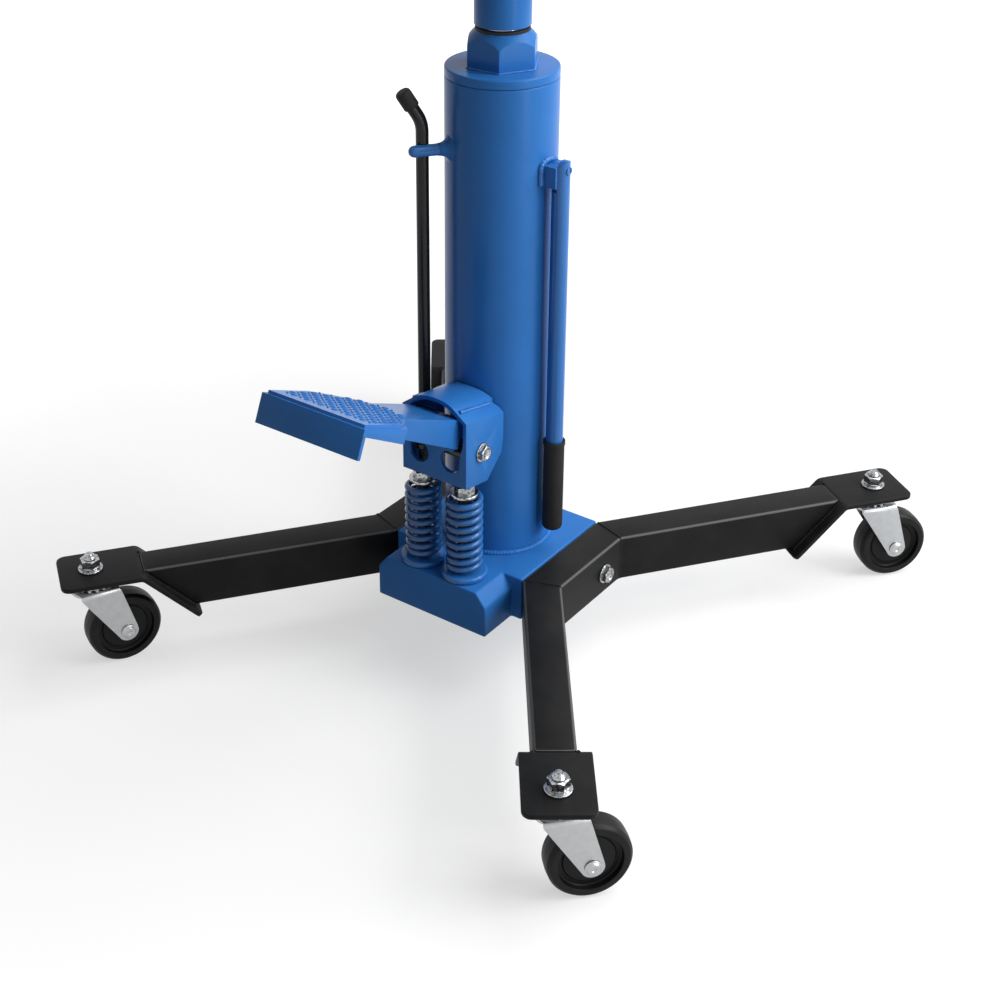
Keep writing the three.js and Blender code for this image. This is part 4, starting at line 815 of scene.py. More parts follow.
class JACK_OT_rams(bpy.types.Operator):
    """Gland nut, the two rams and the collar between them"""

    bl_idname = "jack.rams"
    bl_label = "Gland and rams"

    def execute(self, context):
        low, high = box_mm("gland_nut")
        seat = box_mm("column_head")[1].z + GAP
        flats, bore = 60, 22.3
        corner, flat_top, rise, bulge = flats / 2 / math.cos(TURN / 12), 24.8, 12, 1.15

        def dome(share):
            """A ring on the dome: a round cap that the flats cut into, from the flats to its top."""
            def ring(angle):
                start = reach_of_hexagon(flats, angle + TURN / 12)
                radius = start + (flat_top - start) * share
                out = min((radius - flat_top) / (corner - flat_top), 1)
                return radius, high.z - rise + rise * (1 - out ** bulge) ** (1 / bulge)
            return ring

        def side(height):
            return lambda angle: (reach_of_hexagon(flats, angle + TURN / 12), height)

        nut = lathe([
            (bore, low.z), (26.5, low.z), (26.5, seat), side(seat),
            *[dome(k / 8) for k in range(9)], (bore + 0.6, high.z), (bore, high.z - 0.6),
        ], 144)
        piece("gland_nut_painted", nut, "enamel", "stand", ["gland_nut"], bevel=0.8 * MM, sharp=32)
        start = Vector((corner + 0.2, 0, seat + 0.2))
        rim = [Matrix.Rotation(TURN * k / 6, 4, "Z") @ start for k in range(6)]
        weld("gland_nut_paint_fillet", [(rim, True)], "gloss", "stand", size=0.32, ripple=0.0)
        wiper = lathe(rounded([
            (22.1, high.z - 2), (24.8, high.z - 2), (24.8, high.z + 2.6), (22.1, high.z + 3.4),
        ], [0, 0, 0.9, 0.2], closed=True), 96)
        piece("ram_wiper_moulded", wiper, "rubber", "stand")
        low, high = box_mm("ram_1_tube")
        ram = lathe(rounded([
            (17, low.z), (22, low.z), (22, high.z), (17, high.z)], 0.8, closed=True), 96)
        piece("ram_1_chromed", ram, "chrome", "ram_1", ["ram_1_tube"])
        low, high = box_mm("ram_1_collar")
        radius, ledge = high.x, low.z + 16
        collar = lathe(rounded([
            (22.3, low.z), (radius, low.z), (radius, high.z), (17.6, high.z), (17.6, high.z - 3.4),
            (15.3, high.z - 3.4), (15.3, ledge), (22.3, ledge),
        ], [0, 0.8, 1.8, 0.5, 0, 0.4, 0, 0], closed=True), 120)
        piece("ram_collar_painted", collar, "enamel", "ram_1", ["ram_1_collar"])
        low, high = box_mm("ram_2_rod")
        neck = box_mm("ram_1_collar")[1].z + GAP
        rod = lathe(rounded([
            (0, low.z), (15, low.z), (15, neck), (21, neck), (21, high.z), (8.3, high.z),
            (8.3, high.z - 42), (0, high.z - 42),
        ], [0, 0.8, 0.6, 1, 2, 0.5, 0, 0]), 96)
        piece("ram_2_chromed", rod, "chrome", "ram_2", ["ram_2_rod"])
        for node in ("pressure_cylinder", "ram_1_piston", "ram_2_piston"):
            keep(node, "steel")
        return {"FINISHED"}


class JACK_OT_saddle(bpy.types.Operator):
    """Saddle dish with its rubber pad"""

    bl_idname = "jack.saddle"
    bl_label = "Saddle"

    def execute(self, context):
        low, high = box_mm("saddle")
        radius, ledge, under = high.x, high.z - 6, high.z - 16
        dish = lathe(rounded([
            (0, low.z), (8, low.z), (8, under), (21, under), (radius, ledge - 2), (radius, high.z),
            (radius - 6, high.z), (radius - 6, ledge), (0, ledge),
        ], [0, 1, 2, 3, 3, 1.5, 1.2, 0.8, 0]), 128)
        piece("saddle_coated", dish, "coat", "saddle_head", ["saddle"])
        low, high = box_mm("saddle_pad")
        edge, rib = high.x, 2.2
        face = high.z - rib
        pad = lathe(rounded([
            (0, low.z), (edge, low.z), (edge, high.z), (edge - 5, high.z), (edge - 7, face), (15, face),
            (14, high.z), (8, high.z), (7, face), (0, face),
        ], [0, 0.8, 1.4, 0.8, 0.6, 0.6, 0.8, 0.8, 0.6, 0]), 128)
        piece("saddle_pad_moulded", pad, "rubber", "saddle_head", ["saddle_pad"])
        ribs = sizes().ribs
        bar = bmesh.new()
        half = 1.3
        outline = rounded([(-half, 0), (half, 0), (half * 0.7, rib + 0.4), (-half * 0.7, rib + 0.4)],
                          [0, 0, 0.5, 0.5], closed=True)
        lofted(bar, [(outline, 17), (outline, edge - 8.5)],
               Matrix.Rotation(TURN / 4, 4, "Y") @ Matrix.Rotation(TURN / 4, 4, "Z"))
        places = [
            Matrix.Translation((0, 0, face - 0.4)) @ Matrix.Rotation(TURN * i / ribs, 4, "Z")
            for i in range(ribs)
        ]
        mesh = repeated("saddle_pad_ribs", bar, "rubber", places)
        piece("saddle_pad_ribs", mesh, "rubber", "saddle_head")
        return {"FINISHED"}


# ==== Foot pump ====
class JACK_OT_pump(bpy.types.Operator):
    """Pump barrels, plungers and the nuts that hold their springs"""

    bl_idname = "jack.pump"
    bl_label = "Pump barrels and plungers"

    def execute(self, context):
        for side in SIDES:
            low, high = box_mm("pump_barrel_" + side)
            at = middle("pump_barrel_" + side)
            place = Matrix.Translation((at.x, at.y, 0))
            radius = (high.x - low.x) / 2
            barrel = lathe(rounded([
                (6.3, low.z), (radius, low.z), (radius, high.z), (6.3, high.z),
            ], [0, 2.6, 2.6, 0.5], closed=True), 96, place)
            piece("pump_barrel_" + side + "_painted", barrel, "gloss", "stand", ["pump_barrel_" + side])
            low, high = box_mm("pump_plunger_" + side)
            washer = box_mm("return_spring_" + side)[1].z + 0.4
            plunger = lathe(rounded([
                (3, washer), (13.5, washer), (13.5, washer + 3), (3, washer + 3),
            ], [0, 0.7, 1.2, 0], closed=True), 64, place)
            hexagon_head(plunger, 17, washer + 2.9, washer + 11, place, bore=4.6, crown=0.9)
            stub = [(3, washer + 9), *thread(4.7, washer + 9, washer + 13.4, 1.2), (3, washer + 13.4)]
            turned(plunger, stub, 40, place)
            piece("pump_plunger_" + side + "_plated", plunger, "fastener", "plunger_" + side,
                  ["pump_plunger_" + side])
            tip = lathe(rounded([
                (0, low.z), (6, low.z), (6, washer - 0.2), (4, washer - 0.2), (4, high.z - 7),
                (6, high.z - 5), (6, high.z), (0, high.z),
            ], [0, 0.8, 0.4, 0, 0.8, 0.8, 1.2, 0]), 64, place)
            # The tip wears the steel darkened as painted shade
            piece("pump_plunger_" + side + "_tip", tip, "shaded_steel", "plunger_" + side)
        return {"FINISHED"}


class JACK_OT_springs(bpy.types.Operator):
    """Return springs, wound by Geometry Nodes along a helix"""

    bl_idname = "jack.springs"
    bl_label = "Return springs"

    def execute(self, context):
        wire = sizes().wire / MM
        turns = sizes().turns
        steps = 26
        for side in SIDES:
            low, high = box_mm("return_spring_" + side)
            at = middle("return_spring_" + side)
            radius = (high.x - low.x) / 2 - wire
            bottom, height = low.z + wire, high.z - low.z - 2 * wire
            # The end turns lie almost against each other, and the rest share the height evenly
            close = 2 * wire + 0.5
            pitch = (height - 2 * close) / (turns - 2)
            points = []
            for i in range(round(turns * steps) + 1):
                t = i / steps
                ends, between = min(t, 1) + max(t - turns + 1, 0), max(min(t, turns - 1) - 1, 0)
                rise = ends * close + between * pitch
                angle = TURN * (t + 0.3)
                points.append(Vector((
                    at.x + radius * math.cos(angle), at.y + radius * math.sin(angle), bottom + rise)))
            mesh = grown(
                "return_spring_" + side, line_mesh([(points, False)]), wire_tree, "wire_enamel",
                Radius=sizes().wire, Sides=14, Ripple=0.0, Steps_per_ripple=6.0, Wander=0.0, Seed=0.0)
            spring = piece("return_spring_" + side + "_painted", mesh, "wire_enamel", "stand",
                           ["return_spring_" + side], sharp=60)
            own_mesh(spring)
        return {"FINISHED"}


class JACK_OT_rocker(bpy.types.Operator):
    """Rocker of folded sheet, its pivot lug, pivot bolt and push pin"""

    bl_idname = "jack.rocker"
    bl_label = "Rocker"

    def execute(self, context):
        fold, edge = sizes().fold, sizes().edge
        shape = ease(merged("rocker"), fold, edge)
        piece("rocker_painted", shape, "enamel", "pedal_lever", ["rocker"], bevel=fold, weighted=True)
        pivot, _ = joint_mm("pedal_hinge")
        # The roof strip is welded to the shoulders, which fall away behind the front plate
        low, high = box_mm("rocker")
        roof_half, shoulder, roof_rise, fall = 26, 39.6, 8, math.tan(math.radians(12))
        edge_z = pivot.z + shoulder + roof_rise
        beads = []
        for x in (-roof_half - 0.3, roof_half + 0.3):
            reach = low.y + 4, low.y + 48
            beads.append(([(x, y, edge_z - (y - low.y) * fall) for y in reach], False))
        weld("rocker_roof_welds", beads, "gloss", "pedal_lever", size=0.75, seed=6)
        low, high = box_mm("push_pin")
        at, length = middle("push_pin"), high.x - low.x
        across = facing((low.x, at.y, at.z), (1, 0, 0))
        pin = lathe(rounded([(0, 0), (4.5, 0), (4.5, length), (0, length)], 0.8), 40, across)
        # The pin wears the steel darkened as painted shade
        piece("push_pin_turned", pin, "shaded_steel", "pedal_lever", ["push_pin"])
        shape = ease(merged("pivot_lug"), 2 * MM, 0.8 * MM, 8)
        piece("pivot_lug_painted", shape, "enamel", "stand", ["pivot_lug"], bevel=2 * MM, weighted=True)
        low, high = box_mm("pivot_bolt")
        out = facing((0, pivot.y, pivot.z), (1, 0, 0))
        seat = box_mm("rocker")[1].x + GAP
        bolt = lathe(rounded([
            (0, low.x), (8, low.x), (8, low.x + 3), (5, low.x + 3), (5, seat), (9.5, seat),
            (9.5, seat + 1.6), (0, seat + 1.6),
        ], [0, 1.2, 0.5, 0, 0, 0.4, 0.6, 0]), 48, out)
        hexagon_head(bolt, 14, seat + 1.5, high.x, out, dish=1.4)
        piece("pivot_bolt_plated", bolt, "fastener", "stand", ["pivot_bolt"], bevel=0.35 * MM, steps=2)
        return {"FINISHED"}


class JACK_OT_pedal(bpy.types.Operator):
    """Foot pedal of folded sheet, with the studs of its tread"""

    bl_idname = "jack.pedal"
    bl_label = "Foot pedal"

    def execute(self, context):
        fold, edge = sizes().fold, sizes().edge
        shape = ease(merged("pedal"), fold, edge, 4.5)
        piece("pedal_painted", shape, "enamel", "pedal_lever", ["pedal"], bevel=fold, weighted=True)
        # The tread is the highest of the faces that lie square to the slope of the plate
        slope = Matrix.Rotation(math.radians(-23.8), 4, "X")
        up = slope @ Vector((0, 0, 1))
        solid = merged("pedal")
        level = [face for face in solid.faces if face.normal.dot(up) > 0.999 and face.calc_area() > 200]
        top = max(level, key=lambda face: face.calc_center_median().dot(up))
        centre = top.calc_center_median()
        flat = [slope.inverted() @ (v.co - centre) * 0.93 for v in top.verts]
        solid.free()
        plate = bpy.data.meshes.new("tread")
        plate.from_pydata([Vector((p.x, p.y, 0)) * MM for p in flat], [], [list(range(len(flat)))])
        pitch = sizes().stud
        mesh = grown(
            "pedal_studs", plate, stud_tree, "enamel", Pitch=pitch, Length=pitch * 0.43,
            Width=pitch * 0.16, Height=1.1 * MM, Columns=17, Rows=17)
        mesh.transform(Matrix.Translation(centre * MM) @ slope)
        piece("pedal_studs", mesh, "enamel", "pedal_lever", sharp=80)
        return {"FINISHED"}


# ==== Release rod and handle ====
class JACK_OT_release(bpy.types.Operator):
    """Release valve, its rod with a bent end and rubber cap, and the guide on the column"""

    bl_idname = "jack.release"
    bl_label = "Release rod"

    def execute(self, context):
        axis, _ = joint_mm("release_turn")
        low, high = box_mm("release_rod")
        bend_angle, tip_length = math.radians(31.5), 33
        out = Vector((axis.x, axis.y, 0)).normalized()
        direction = out * math.sin(bend_angle) + Vector((0, 0, math.cos(bend_angle)))
        radius = 6
        tip_z = high.z - radius * math.sin(bend_angle)
        bend = Vector((axis.x, axis.y, tip_z - tip_length * math.cos(bend_angle)))
        tip = bend + direction * tip_length
        foot = Vector((axis.x, axis.y, low.z))
        rod = bmesh.new()
        swept(rod, rounded([foot, bend, tip], [0, 32, 0], steps=14), radius, 32)
        piece("release_rod_coated", rod, "rod_coat", "release", ["release_rod"])
        reach, cover = 15.5, 7.4
        end = reach + 2.3
        cap = lathe(rounded([(0, 0), (cover, 0), (cover, end), (0, end)], [0, 0.8, 4, 0], steps=8),
                    48, facing(tip - direction * reach, direction))
        piece("release_cap_moulded", cap, "rubber", "release", ["release_rod_cap"])
        low, high = box_mm("release_valve")
        seat = box_mm("base_casting")[1].z + GAP
        upright = Matrix.Translation((axis.x, axis.y, 0))
        stub = [(0, low.z), (9, low.z), (9, seat + 0.7), (0, seat + 0.7)]
        valve = lathe(rounded(stub, 0.8), 48, upright)
        hexagon_head(valve, 22, seat, high.z, upright)
        piece("release_valve_plated", valve, "fastener", "release", ["release_valve"],
              bevel=0.4 * MM, steps=2)
        piece("release_guide_painted", merged("release_rod_guide"), "gloss", "stand", ["release_rod_guide"],
              bevel=0.8 * MM, steps=2, sharp=50)
        # The weld at its root is drawn out into a fillet that follows the round of the column
        column = box_mm("column_tube")[1].x
        level = middle("release_rod_guide").z
        beside = Vector((-out.y, out.x, 0)) * 6
        root = facing(beside + Vector((0, 0, level)), out)

        def skin(radius, stand_off):
            """A ring this far off the column, measured along the guide."""
            def ring(angle):
                point = root @ Vector((radius * math.cos(angle), radius * math.sin(angle), 0))
                sideways = (point - out * point.dot(out)).xy.length
                return radius, math.sqrt(column ** 2 - sideways ** 2) + stand_off
            return ring

        fillet = lathe([
            (0, column - 6), skin(13, -1.2), skin(12.2, 0.5), skin(10, 1.3), skin(8.2, 2.8), skin(7, 4.8),
            skin(6.2, 7.2), skin(5.75, 10), (0, column + 10),
        ], 48, root)
        piece("release_guide_fillet", fillet, "enamel", "stand", sharp=80)
        return {"FINISHED"}


class JACK_OT_handle(bpy.types.Operator):
    """Handle: lug, pin, bar and rubber grip"""

    bl_idname = "jack.handle"
    bl_label = "Handle"

    def execute(self, context):
        hinge, _ = joint_mm("handle_hinge")
        piece("handle_lug_painted", merged("handle_lug"), "enamel", "stand", ["handle_lug"],
              bevel=1.6 * MM)
        low, high = box_mm("handle_pin")
        across = facing((0, hinge.y, hinge.z), (1, 0, 0))
        pin = lathe(rounded([
            (0, low.x), (4, low.x), (4, high.x), (2.8, high.x), (1.6, high.x - 1.4), (0, high.x - 1.4),
        ], [0, 0.6, 0.6, 0.4, 0.4, 0]), 40, across)
        piece("handle_pin_painted", pin, "gloss", "stand", ["handle_pin"])
        # Above its shoulder the bar is cut away to a tongue, rounded at the top, beside the lug
        lug_low, lug_high = box_mm("handle_lug")
        low, high = box_mm("handle_bar")
        radius, tongue, eye = high.x - hinge.x, 7, high.z - hinge.z
        shoulder = hinge.z - math.hypot(lug_high.y, hinge.z - lug_low.z) - 1
        hang = Matrix.Translation((hinge.x, hinge.y, 0))

        def section(inner, half):
            """The round of the bar, flat on its inner side and no wider than this."""
            line = []
            for k in range(64):
                x, y = radius * math.cos(TURN * k / 64), radius * math.sin(TURN * k / 64)
                line.append((max(x, inner), min(max(y, -half), half)))
            return line

        levels = [(section(-radius, radius), z) for z in (low.z, shoulder - 0.01)]
        levels += [(section(radius - tongue, radius), z) for z in (shoulder, hinge.z)]
        for k in range(1, 13):
            angle = TURN / 4 * k / 12.4
            slice_at = section(radius - tongue, eye * math.cos(angle))
            levels.append((slice_at, hinge.z + eye * math.sin(angle)))
        bar = bmesh.new()
        lofted(bar, levels, hang)
        bmesh.ops.remove_doubles(bar, verts=bar.verts, dist=0.004)
        piece("handle_bar_painted", bar, "gloss", "handle", ["handle_bar"], bevel=1.1 * MM)
        low, high = box_mm("handle_grip")
        radius = (high.x - low.x) / 2
        grip = lathe(rounded([
            (0, low.z), (radius, low.z), (radius, high.z - 5), (radius + 0.7, high.z - 4.2),
            (radius + 0.7, high.z), (9.1, high.z), (9.1, low.z + 6), (0, low.z + 6),
        ], [0, 5.5, 0.5, 0.5, 0.8, 0.5, 0, 0], steps=7), 56, hang)
        piece("handle_grip_moulded", grip, "rubber", "handle", ["handle_grip"])
        column = box_mm("column_tube")[1].x
        half = lug_high.y + 0.8
        back = math.sqrt(column ** 2 - half ** 2) + 0.4
        seam = rounded([
            (back, -half, lug_low.z + 1), (back, -half, lug_high.z + 0.6),
            (column + 0.4, -2, lug_high.z + 3.4), (back, half, lug_high.z + 1), (back, half, lug_low.z + 1),
        ], 6)
        weld("handle_lug_weld", [(seam, False)], "gloss", "stand", size=1.15, seed=3, ripple=0.05)
        return {"FINISHED"}


# ==== Legs ====
# Width of the tube of the legs, and how far a caster plate lies level from its stem toward the leg
LEG_WIDTH = 37
PLATE_REACH = 47


def leg_lines():
    """Inner and outer plan lines of the right leg frame's rear leg, and the frame's lowest and highest Z.
    A line is the corner at its bend, its end by the caster and the way back from there."""
    low, high = box_mm("leg_frame_right")
    inner_face = low.x
    width, bend_y = LEG_WIDTH, 59.8
    bend = Vector((inner_face + width / 2, bend_y))
    stem = middle("caster_stem_rear_right").xy
    along = (stem - bend).normalized()
    across = Vector((along.y, -along.x))
    shift = width / 2 * math.tan((TURN / 4 - math.atan2(along.y, along.x)) / 2)
    lines = []
    for sign in (-1, 1):
        corner = bend + Vector((sign * width / 2, -sign * shift))
        lines.append((corner, stem + across * (sign * width / 2), -along))
    return lines, low.z, high.z


class JACK_OT_legs(bpy.types.Operator):
    """Leg frames of rectangular tube, with the seams of their mitres"""

    bl_idname = "jack.legs"
    bl_label = "Leg frames"

    def execute(self, context):
        # The sloping end of a leg keeps its gap square to the slope
        gap = 0.42
        for name, side in SIDES.items():
            lines, low, high = leg_lines()
            (inner_corner, inner_stem, back), (outer_corner, outer_stem, _) = lines

            def plan(depth):
                """Plan outline with the legs ending this far from their casters."""
                rear = [
                    outer_corner, outer_stem + back * depth, inner_stem + back * depth, inner_corner]
                front = [Vector((p.x, -p.y)) for p in reversed(rear)]
                return [Vector((p.x * side, p.y)) for p in rear + front]

            shape = bmesh.new()
            start = PLATE_REACH + gap
            lofted(shape, [(plan(start + high - low), low), (plan(start), high)])
            piece("leg_frame_" + name + "_coated", shape, "tube_coat", "stand", ["leg_frame_" + name],
                  bevel=sizes().tube_corner, steps=4, sharp=40)
            seams = []
            for end in (-1, 1):
                inner = Vector((inner_corner.x * side, inner_corner.y * end, high))
                outer = Vector((outer_corner.x * side, outer_corner.y * end, high))
                seams.append((rounded([
                    inner + (outer - inner) * 0.08, outer, outer - Vector((0, 0, high - low - 4)),
                ], [0, sizes().tube_corner / MM, 0], steps=6), False))
            weld("leg_seams_" + name, seams, "coat", "stand", size=0.36, seed=4)
        return {"FINISHED"}


class JACK_OT_leg_bolts(bpy.types.Operator):
    """The bolt that holds each leg frame to the casting, repeated by Geometry Nodes"""

    bl_idname = "jack.leg_bolts"
    bl_label = "Leg bolts"

    def execute(self, context):
        nodes = ["leg_bolt_" + side for side in SIDES]
        low, high = box_mm("leg_bolt_right")
        seat = box_mm("leg_frame_right")[0].x + LEG_WIDTH + GAP
        bolt = lathe(rounded([
            (0, low.x), (5.7, low.x), (5.7, seat), (10, seat), (10, seat + 2), (0, seat + 2),
        ], [0, 1, 0, 0.4, 0.8, 0]), 56)
        hexagon_head(bolt, 15, seat + 1.9, high.x, dish=1.4)
        places = []
        for node in nodes:
            at = middle(node)
            toward = Vector((1 if at.x > 0 else -1, 0, 0))
            places.append(facing((0, at.y, at.z), toward))
        mesh = repeated("leg_bolts", bolt, "fastener", places)
        piece("leg_bolts_plated", mesh, "fastener", "stand", nodes)
        return {"FINISHED"}


def caster_frame(corner):
    """Where a caster's stem stands, and the place of its fork, trailing along X."""
    stem, _ = joint_mm(f"swivel_{corner}_turn")
    axle, _ = joint_mm(f"wheel_{corner}_spin")
    foot = Vector((stem.x, stem.y, 0))
    trail = (axle - foot).xy
    place = Matrix.Translation(foot) @ Matrix.Rotation(math.atan2(trail.y, trail.x), 4, "Z")
    return foot, place, trail.length, axle.z


class JACK_OT_caster_plates(bpy.types.Operator):
    """Bent plates between the legs and their casters, with the welds that hold them"""

    bl_idname = "jack.caster_plates"
    bl_label = "Caster plates"

    def execute(self, context):
        outer, half, corner_radius, flap, sheet = 31, 31, 9, 76, 4.8
        for corner in CORNERS:
            high = box_mm("caster_plate_" + corner)[1]
            foot = caster_frame(corner)[0]
            side, end = (1 if foot.x > 0 else -1), (1 if foot.y > 0 else -1)
            lines, _, _ = leg_lines()
            back = lines[0][2]
            heading = math.atan2(back.y * end, back.x * side)
            place = (
                Matrix.Translation(foot) @ Matrix.Rotation(heading, 4, "Z")
                @ Matrix(((0, 1, 0, 0), (1, 0, 0, 0), (0, 0, 1, 0), (0, 0, 0, 1))))
            bend, drop = PLATE_REACH + 1, flap * math.sin(TURN / 8)
            line = rounded(
                [(-outer, high.z), (bend, high.z), (bend + drop, high.z - drop)], [0, 11, 0], steps=9)
            straight = [Vector((-outer + corner_radius * k / 8, high.z)) for k in range(9)]
            line = straight + line[1:-1] + [
                line[-2].lerp(line[-1], share) for share in (0.5, 0.93, 0.96, 0.98, 1)]
            widths = []
            for point in line:
                inset = 0.0
                from_end = point.x + outer
                if from_end < corner_radius:
                    inset = corner_radius - math.sqrt(corner_radius ** 2 - (corner_radius - from_end) ** 2)
                from_tip = (line[-1] - point).length
                if from_tip < 5:
                    inset = 5 - math.sqrt(max(25 - (5 - from_tip) ** 2, 0))
                widths.append((-half + inset, half - inset))
            plate = bmesh.new()
            strip(plate, line, widths, sheet, place)
            piece("caster_plate_" + corner + "_coated", plate, "coat", "stand",
                  ["caster_plate_" + corner], bevel=1.2 * MM, steps=3, sharp=40)
            leg, foot_z = LEG_WIDTH / 2 + 0.4, box_mm("leg_frame_right")[0].z
            seams = []
            for x in (-leg, leg):
                seams.append(([place @ Vector(p) for p in (
                    (x, PLATE_REACH + high.z - foot_z, foot_z),
                    (x, PLATE_REACH, high.z - 0.6))], False))
            weld("caster_plate_weld_" + corner, seams, "coat", "stand", size=0.8, seed=5)
        return {"FINISHED"}


class JACK_OT_casters(bpy.types.Operator):
    """Swivel casters: stem with its nut and ball race, pressed fork, axle and moulded wheel"""

    bl_idname = "jack.casters"
    bl_label = "Casters"

    def execute(self, context):
        for corner in CORNERS:
            foot, place, trail, height = caster_frame(corner)
            self.stem(corner, Matrix.Translation(foot))
            self.fork(corner, place, trail, height)
            self.wheel(corner, place, trail, height)
        return {"FINISHED"}

    @staticmethod
    def stem(corner, place):
        """Bolt with its washer and nut, the race dish under the plate, and the balls in it."""
        low, high = box_mm("caster_stem_" + corner)
        seat = box_mm("caster_plate_" + corner)[1].z + GAP
        race = seat - 5.4
        fork_top = box_mm("caster_fork_" + corner)[1].z
        shape = lathe(rounded([
            (0, low.z), (9.5, low.z), (9.5, low.z + 6), (6, low.z + 6), (6, fork_top + 4.4),
            (15, fork_top + 4.4), (21.5, fork_top + 6.2), (22.5, race), (6, race), (6, seat),
            (12, seat), (12, seat + 2.2), (9.4, seat + 2.2), (9.4, seat + 4.6), (5.5, seat + 4.6),
        ] + thread(5.6, seat + 12, high.z - 1.2) + [(3.4, high.z), (0, high.z)],
            [0, 2, 0.8, 0, 0, 1.5, 2, 1.5, 0, 0, 0.4, 0.8, 0, 0.7, 0] + [0] * 40), 56, place)
        hexagon_head(shape, 17, seat + 4.5, seat + 12.4, place, bore=5.2, crown=0.9)
        piece("caster_stem_" + corner + "_plated", shape, "fastener", "stand", ["caster_stem_" + corner],
              sharp=32)
        balls = 14
        ball = bmesh.new()
        bmesh.ops.create_icosphere(ball, subdivisions=2, radius=2.0)
        places = [
            place @ Matrix.Rotation(TURN * i / balls, 4, "Z") @ Matrix.Translation((16, 0, fork_top + 2.3))
            for i in range(balls)
        ]
        mesh = repeated("ball_race_" + corner, ball, "steel", places)
        piece("ball_race_" + corner, mesh, "steel", "stand", sharp=60)

    @staticmethod
    def fork(corner, place, trail, height):
        """Pressed fork, leaning back to the eye of its axle, and the axle with its two buttons."""
        top = box_mm("caster_fork_" + corner)[1].z
        sheet, half, eye, crown, front, lean = 3, 17.2, 10.5, 22, 16, 0.42
        start = Vector((trail - eye * math.cos(lean), height - eye * math.sin(lean)))
        rear_start = Vector((trail + eye * math.cos(lean / 2), height + eye * math.sin(lean / 2)))

        def edges(z):
            """Front and rear edge of a cheek at a height."""
            across = math.sqrt(max(eye ** 2 - (z - height) ** 2, 0.05))
            if z < start.y:
                ahead = trail - across
            else:
                share = min((z - start.y) / (top - 6 - start.y), 1)
                ahead = start.x + (-front - start.x) * share
            if z < rear_start.y:
                behind = trail + across
            else:
                share = (z - rear_start.y) / (top - rear_start.y)
                behind = rear_start.x + (crown - rear_start.x) * share
            return ahead, behind

        bottom = height - eye
        levels = [bottom + eye * (1 - math.cos(TURN / 4 * k / 12)) for k in range(13)]
        levels += [height + (top - 8 - height) * k / 10 for k in range(1, 11)]
        cheek = [(-half, z) for z in levels]
        across = [((half - 7) * (k / 6 - 1), top) for k in range(13)]
        line = rounded(
            [*cheek, (-half, top), *across, (half, top), *[(half, z) for z in reversed(levels)]],
            [0] * len(cheek) + [6] + [0] * len(across) + [6] + [0] * len(levels), steps=6)
        widths = []
        for point in line:
            ahead, behind = edges(point.y)
            if abs(point.x) < half - 0.5:
                ahead = -max(front, math.sqrt(max(crown ** 2 - point.x ** 2, 0)))
                behind = crown
            widths.append((ahead, behind))
        shape = bmesh.new()
        strip(shape, line, widths, sheet, place)
        piece("caster_fork_" + corner + "_plated", shape, "zinc", "swivel_" + corner,
              ["caster_fork_" + corner], bevel=0.6 * MM, steps=2, sharp=40)
        head = half + GAP
        profile = [(4, 0), (7.5, 0), (7.5, 1.2), (6.4, 1.6), (5.2, 3.1), (2.4, 3.2), (1.6, 2.2), (0, 2.2)]
        button = rounded(profile, [0, 0.3, 0.4, 0.4, 0.9, 0.4, 0.4, 0])
        mirrored = [(p[0], -head - p[1]) for p in reversed(button)]
        axle = lathe(mirrored + [(p[0], head + p[1]) for p in button], 40,
                     place @ Matrix.Translation((trail, 0, height)) @ Matrix.Rotation(TURN / 4, 4, "X"))
        piece("caster_axle_" + corner + "_plated", axle, "zinc", "swivel_" + corner,
              ["caster_axle_" + corner])

    @staticmethod
    def wheel(corner, place, trail, height):
        """Wheel with a hub, a thinner web and a rounded tread."""
        radius, half, hub, web, tyre = height, 13, 10.8, 5.8, 28.5
        side = [
            (hub, half), (hub, web + 1.2), (tyre - 6, web + 1.2), (tyre - 5, web), (tyre, web),
            (tyre, half - 1), (radius - 3.2, half - 1), (radius - 0.5, half - 4.5), (radius, 0),
        ]
        radii = [0.8, 1.6, 0.6, 0.6, 1.8, 0.7, 2.2, 3, 8]
        profile = [(4.3, half), *side, *[(r, -w) for r, w in reversed(side[:-1])], (4.3, -half)]
        radii = [0.4, *radii, *reversed(radii[:-1]), 0.4]
        shape = lathe(rounded(profile, radii, steps=4, closed=True), 96,
                      place @ Matrix.Translation((trail, 0, height)) @ Matrix.Rotation(TURN / 4, 4, "X"))
        piece("caster_wheel_" + corner + "_moulded", shape, "nylon", "wheel_" + corner,
              ["caster_wheel_" + corner], sharp=40)


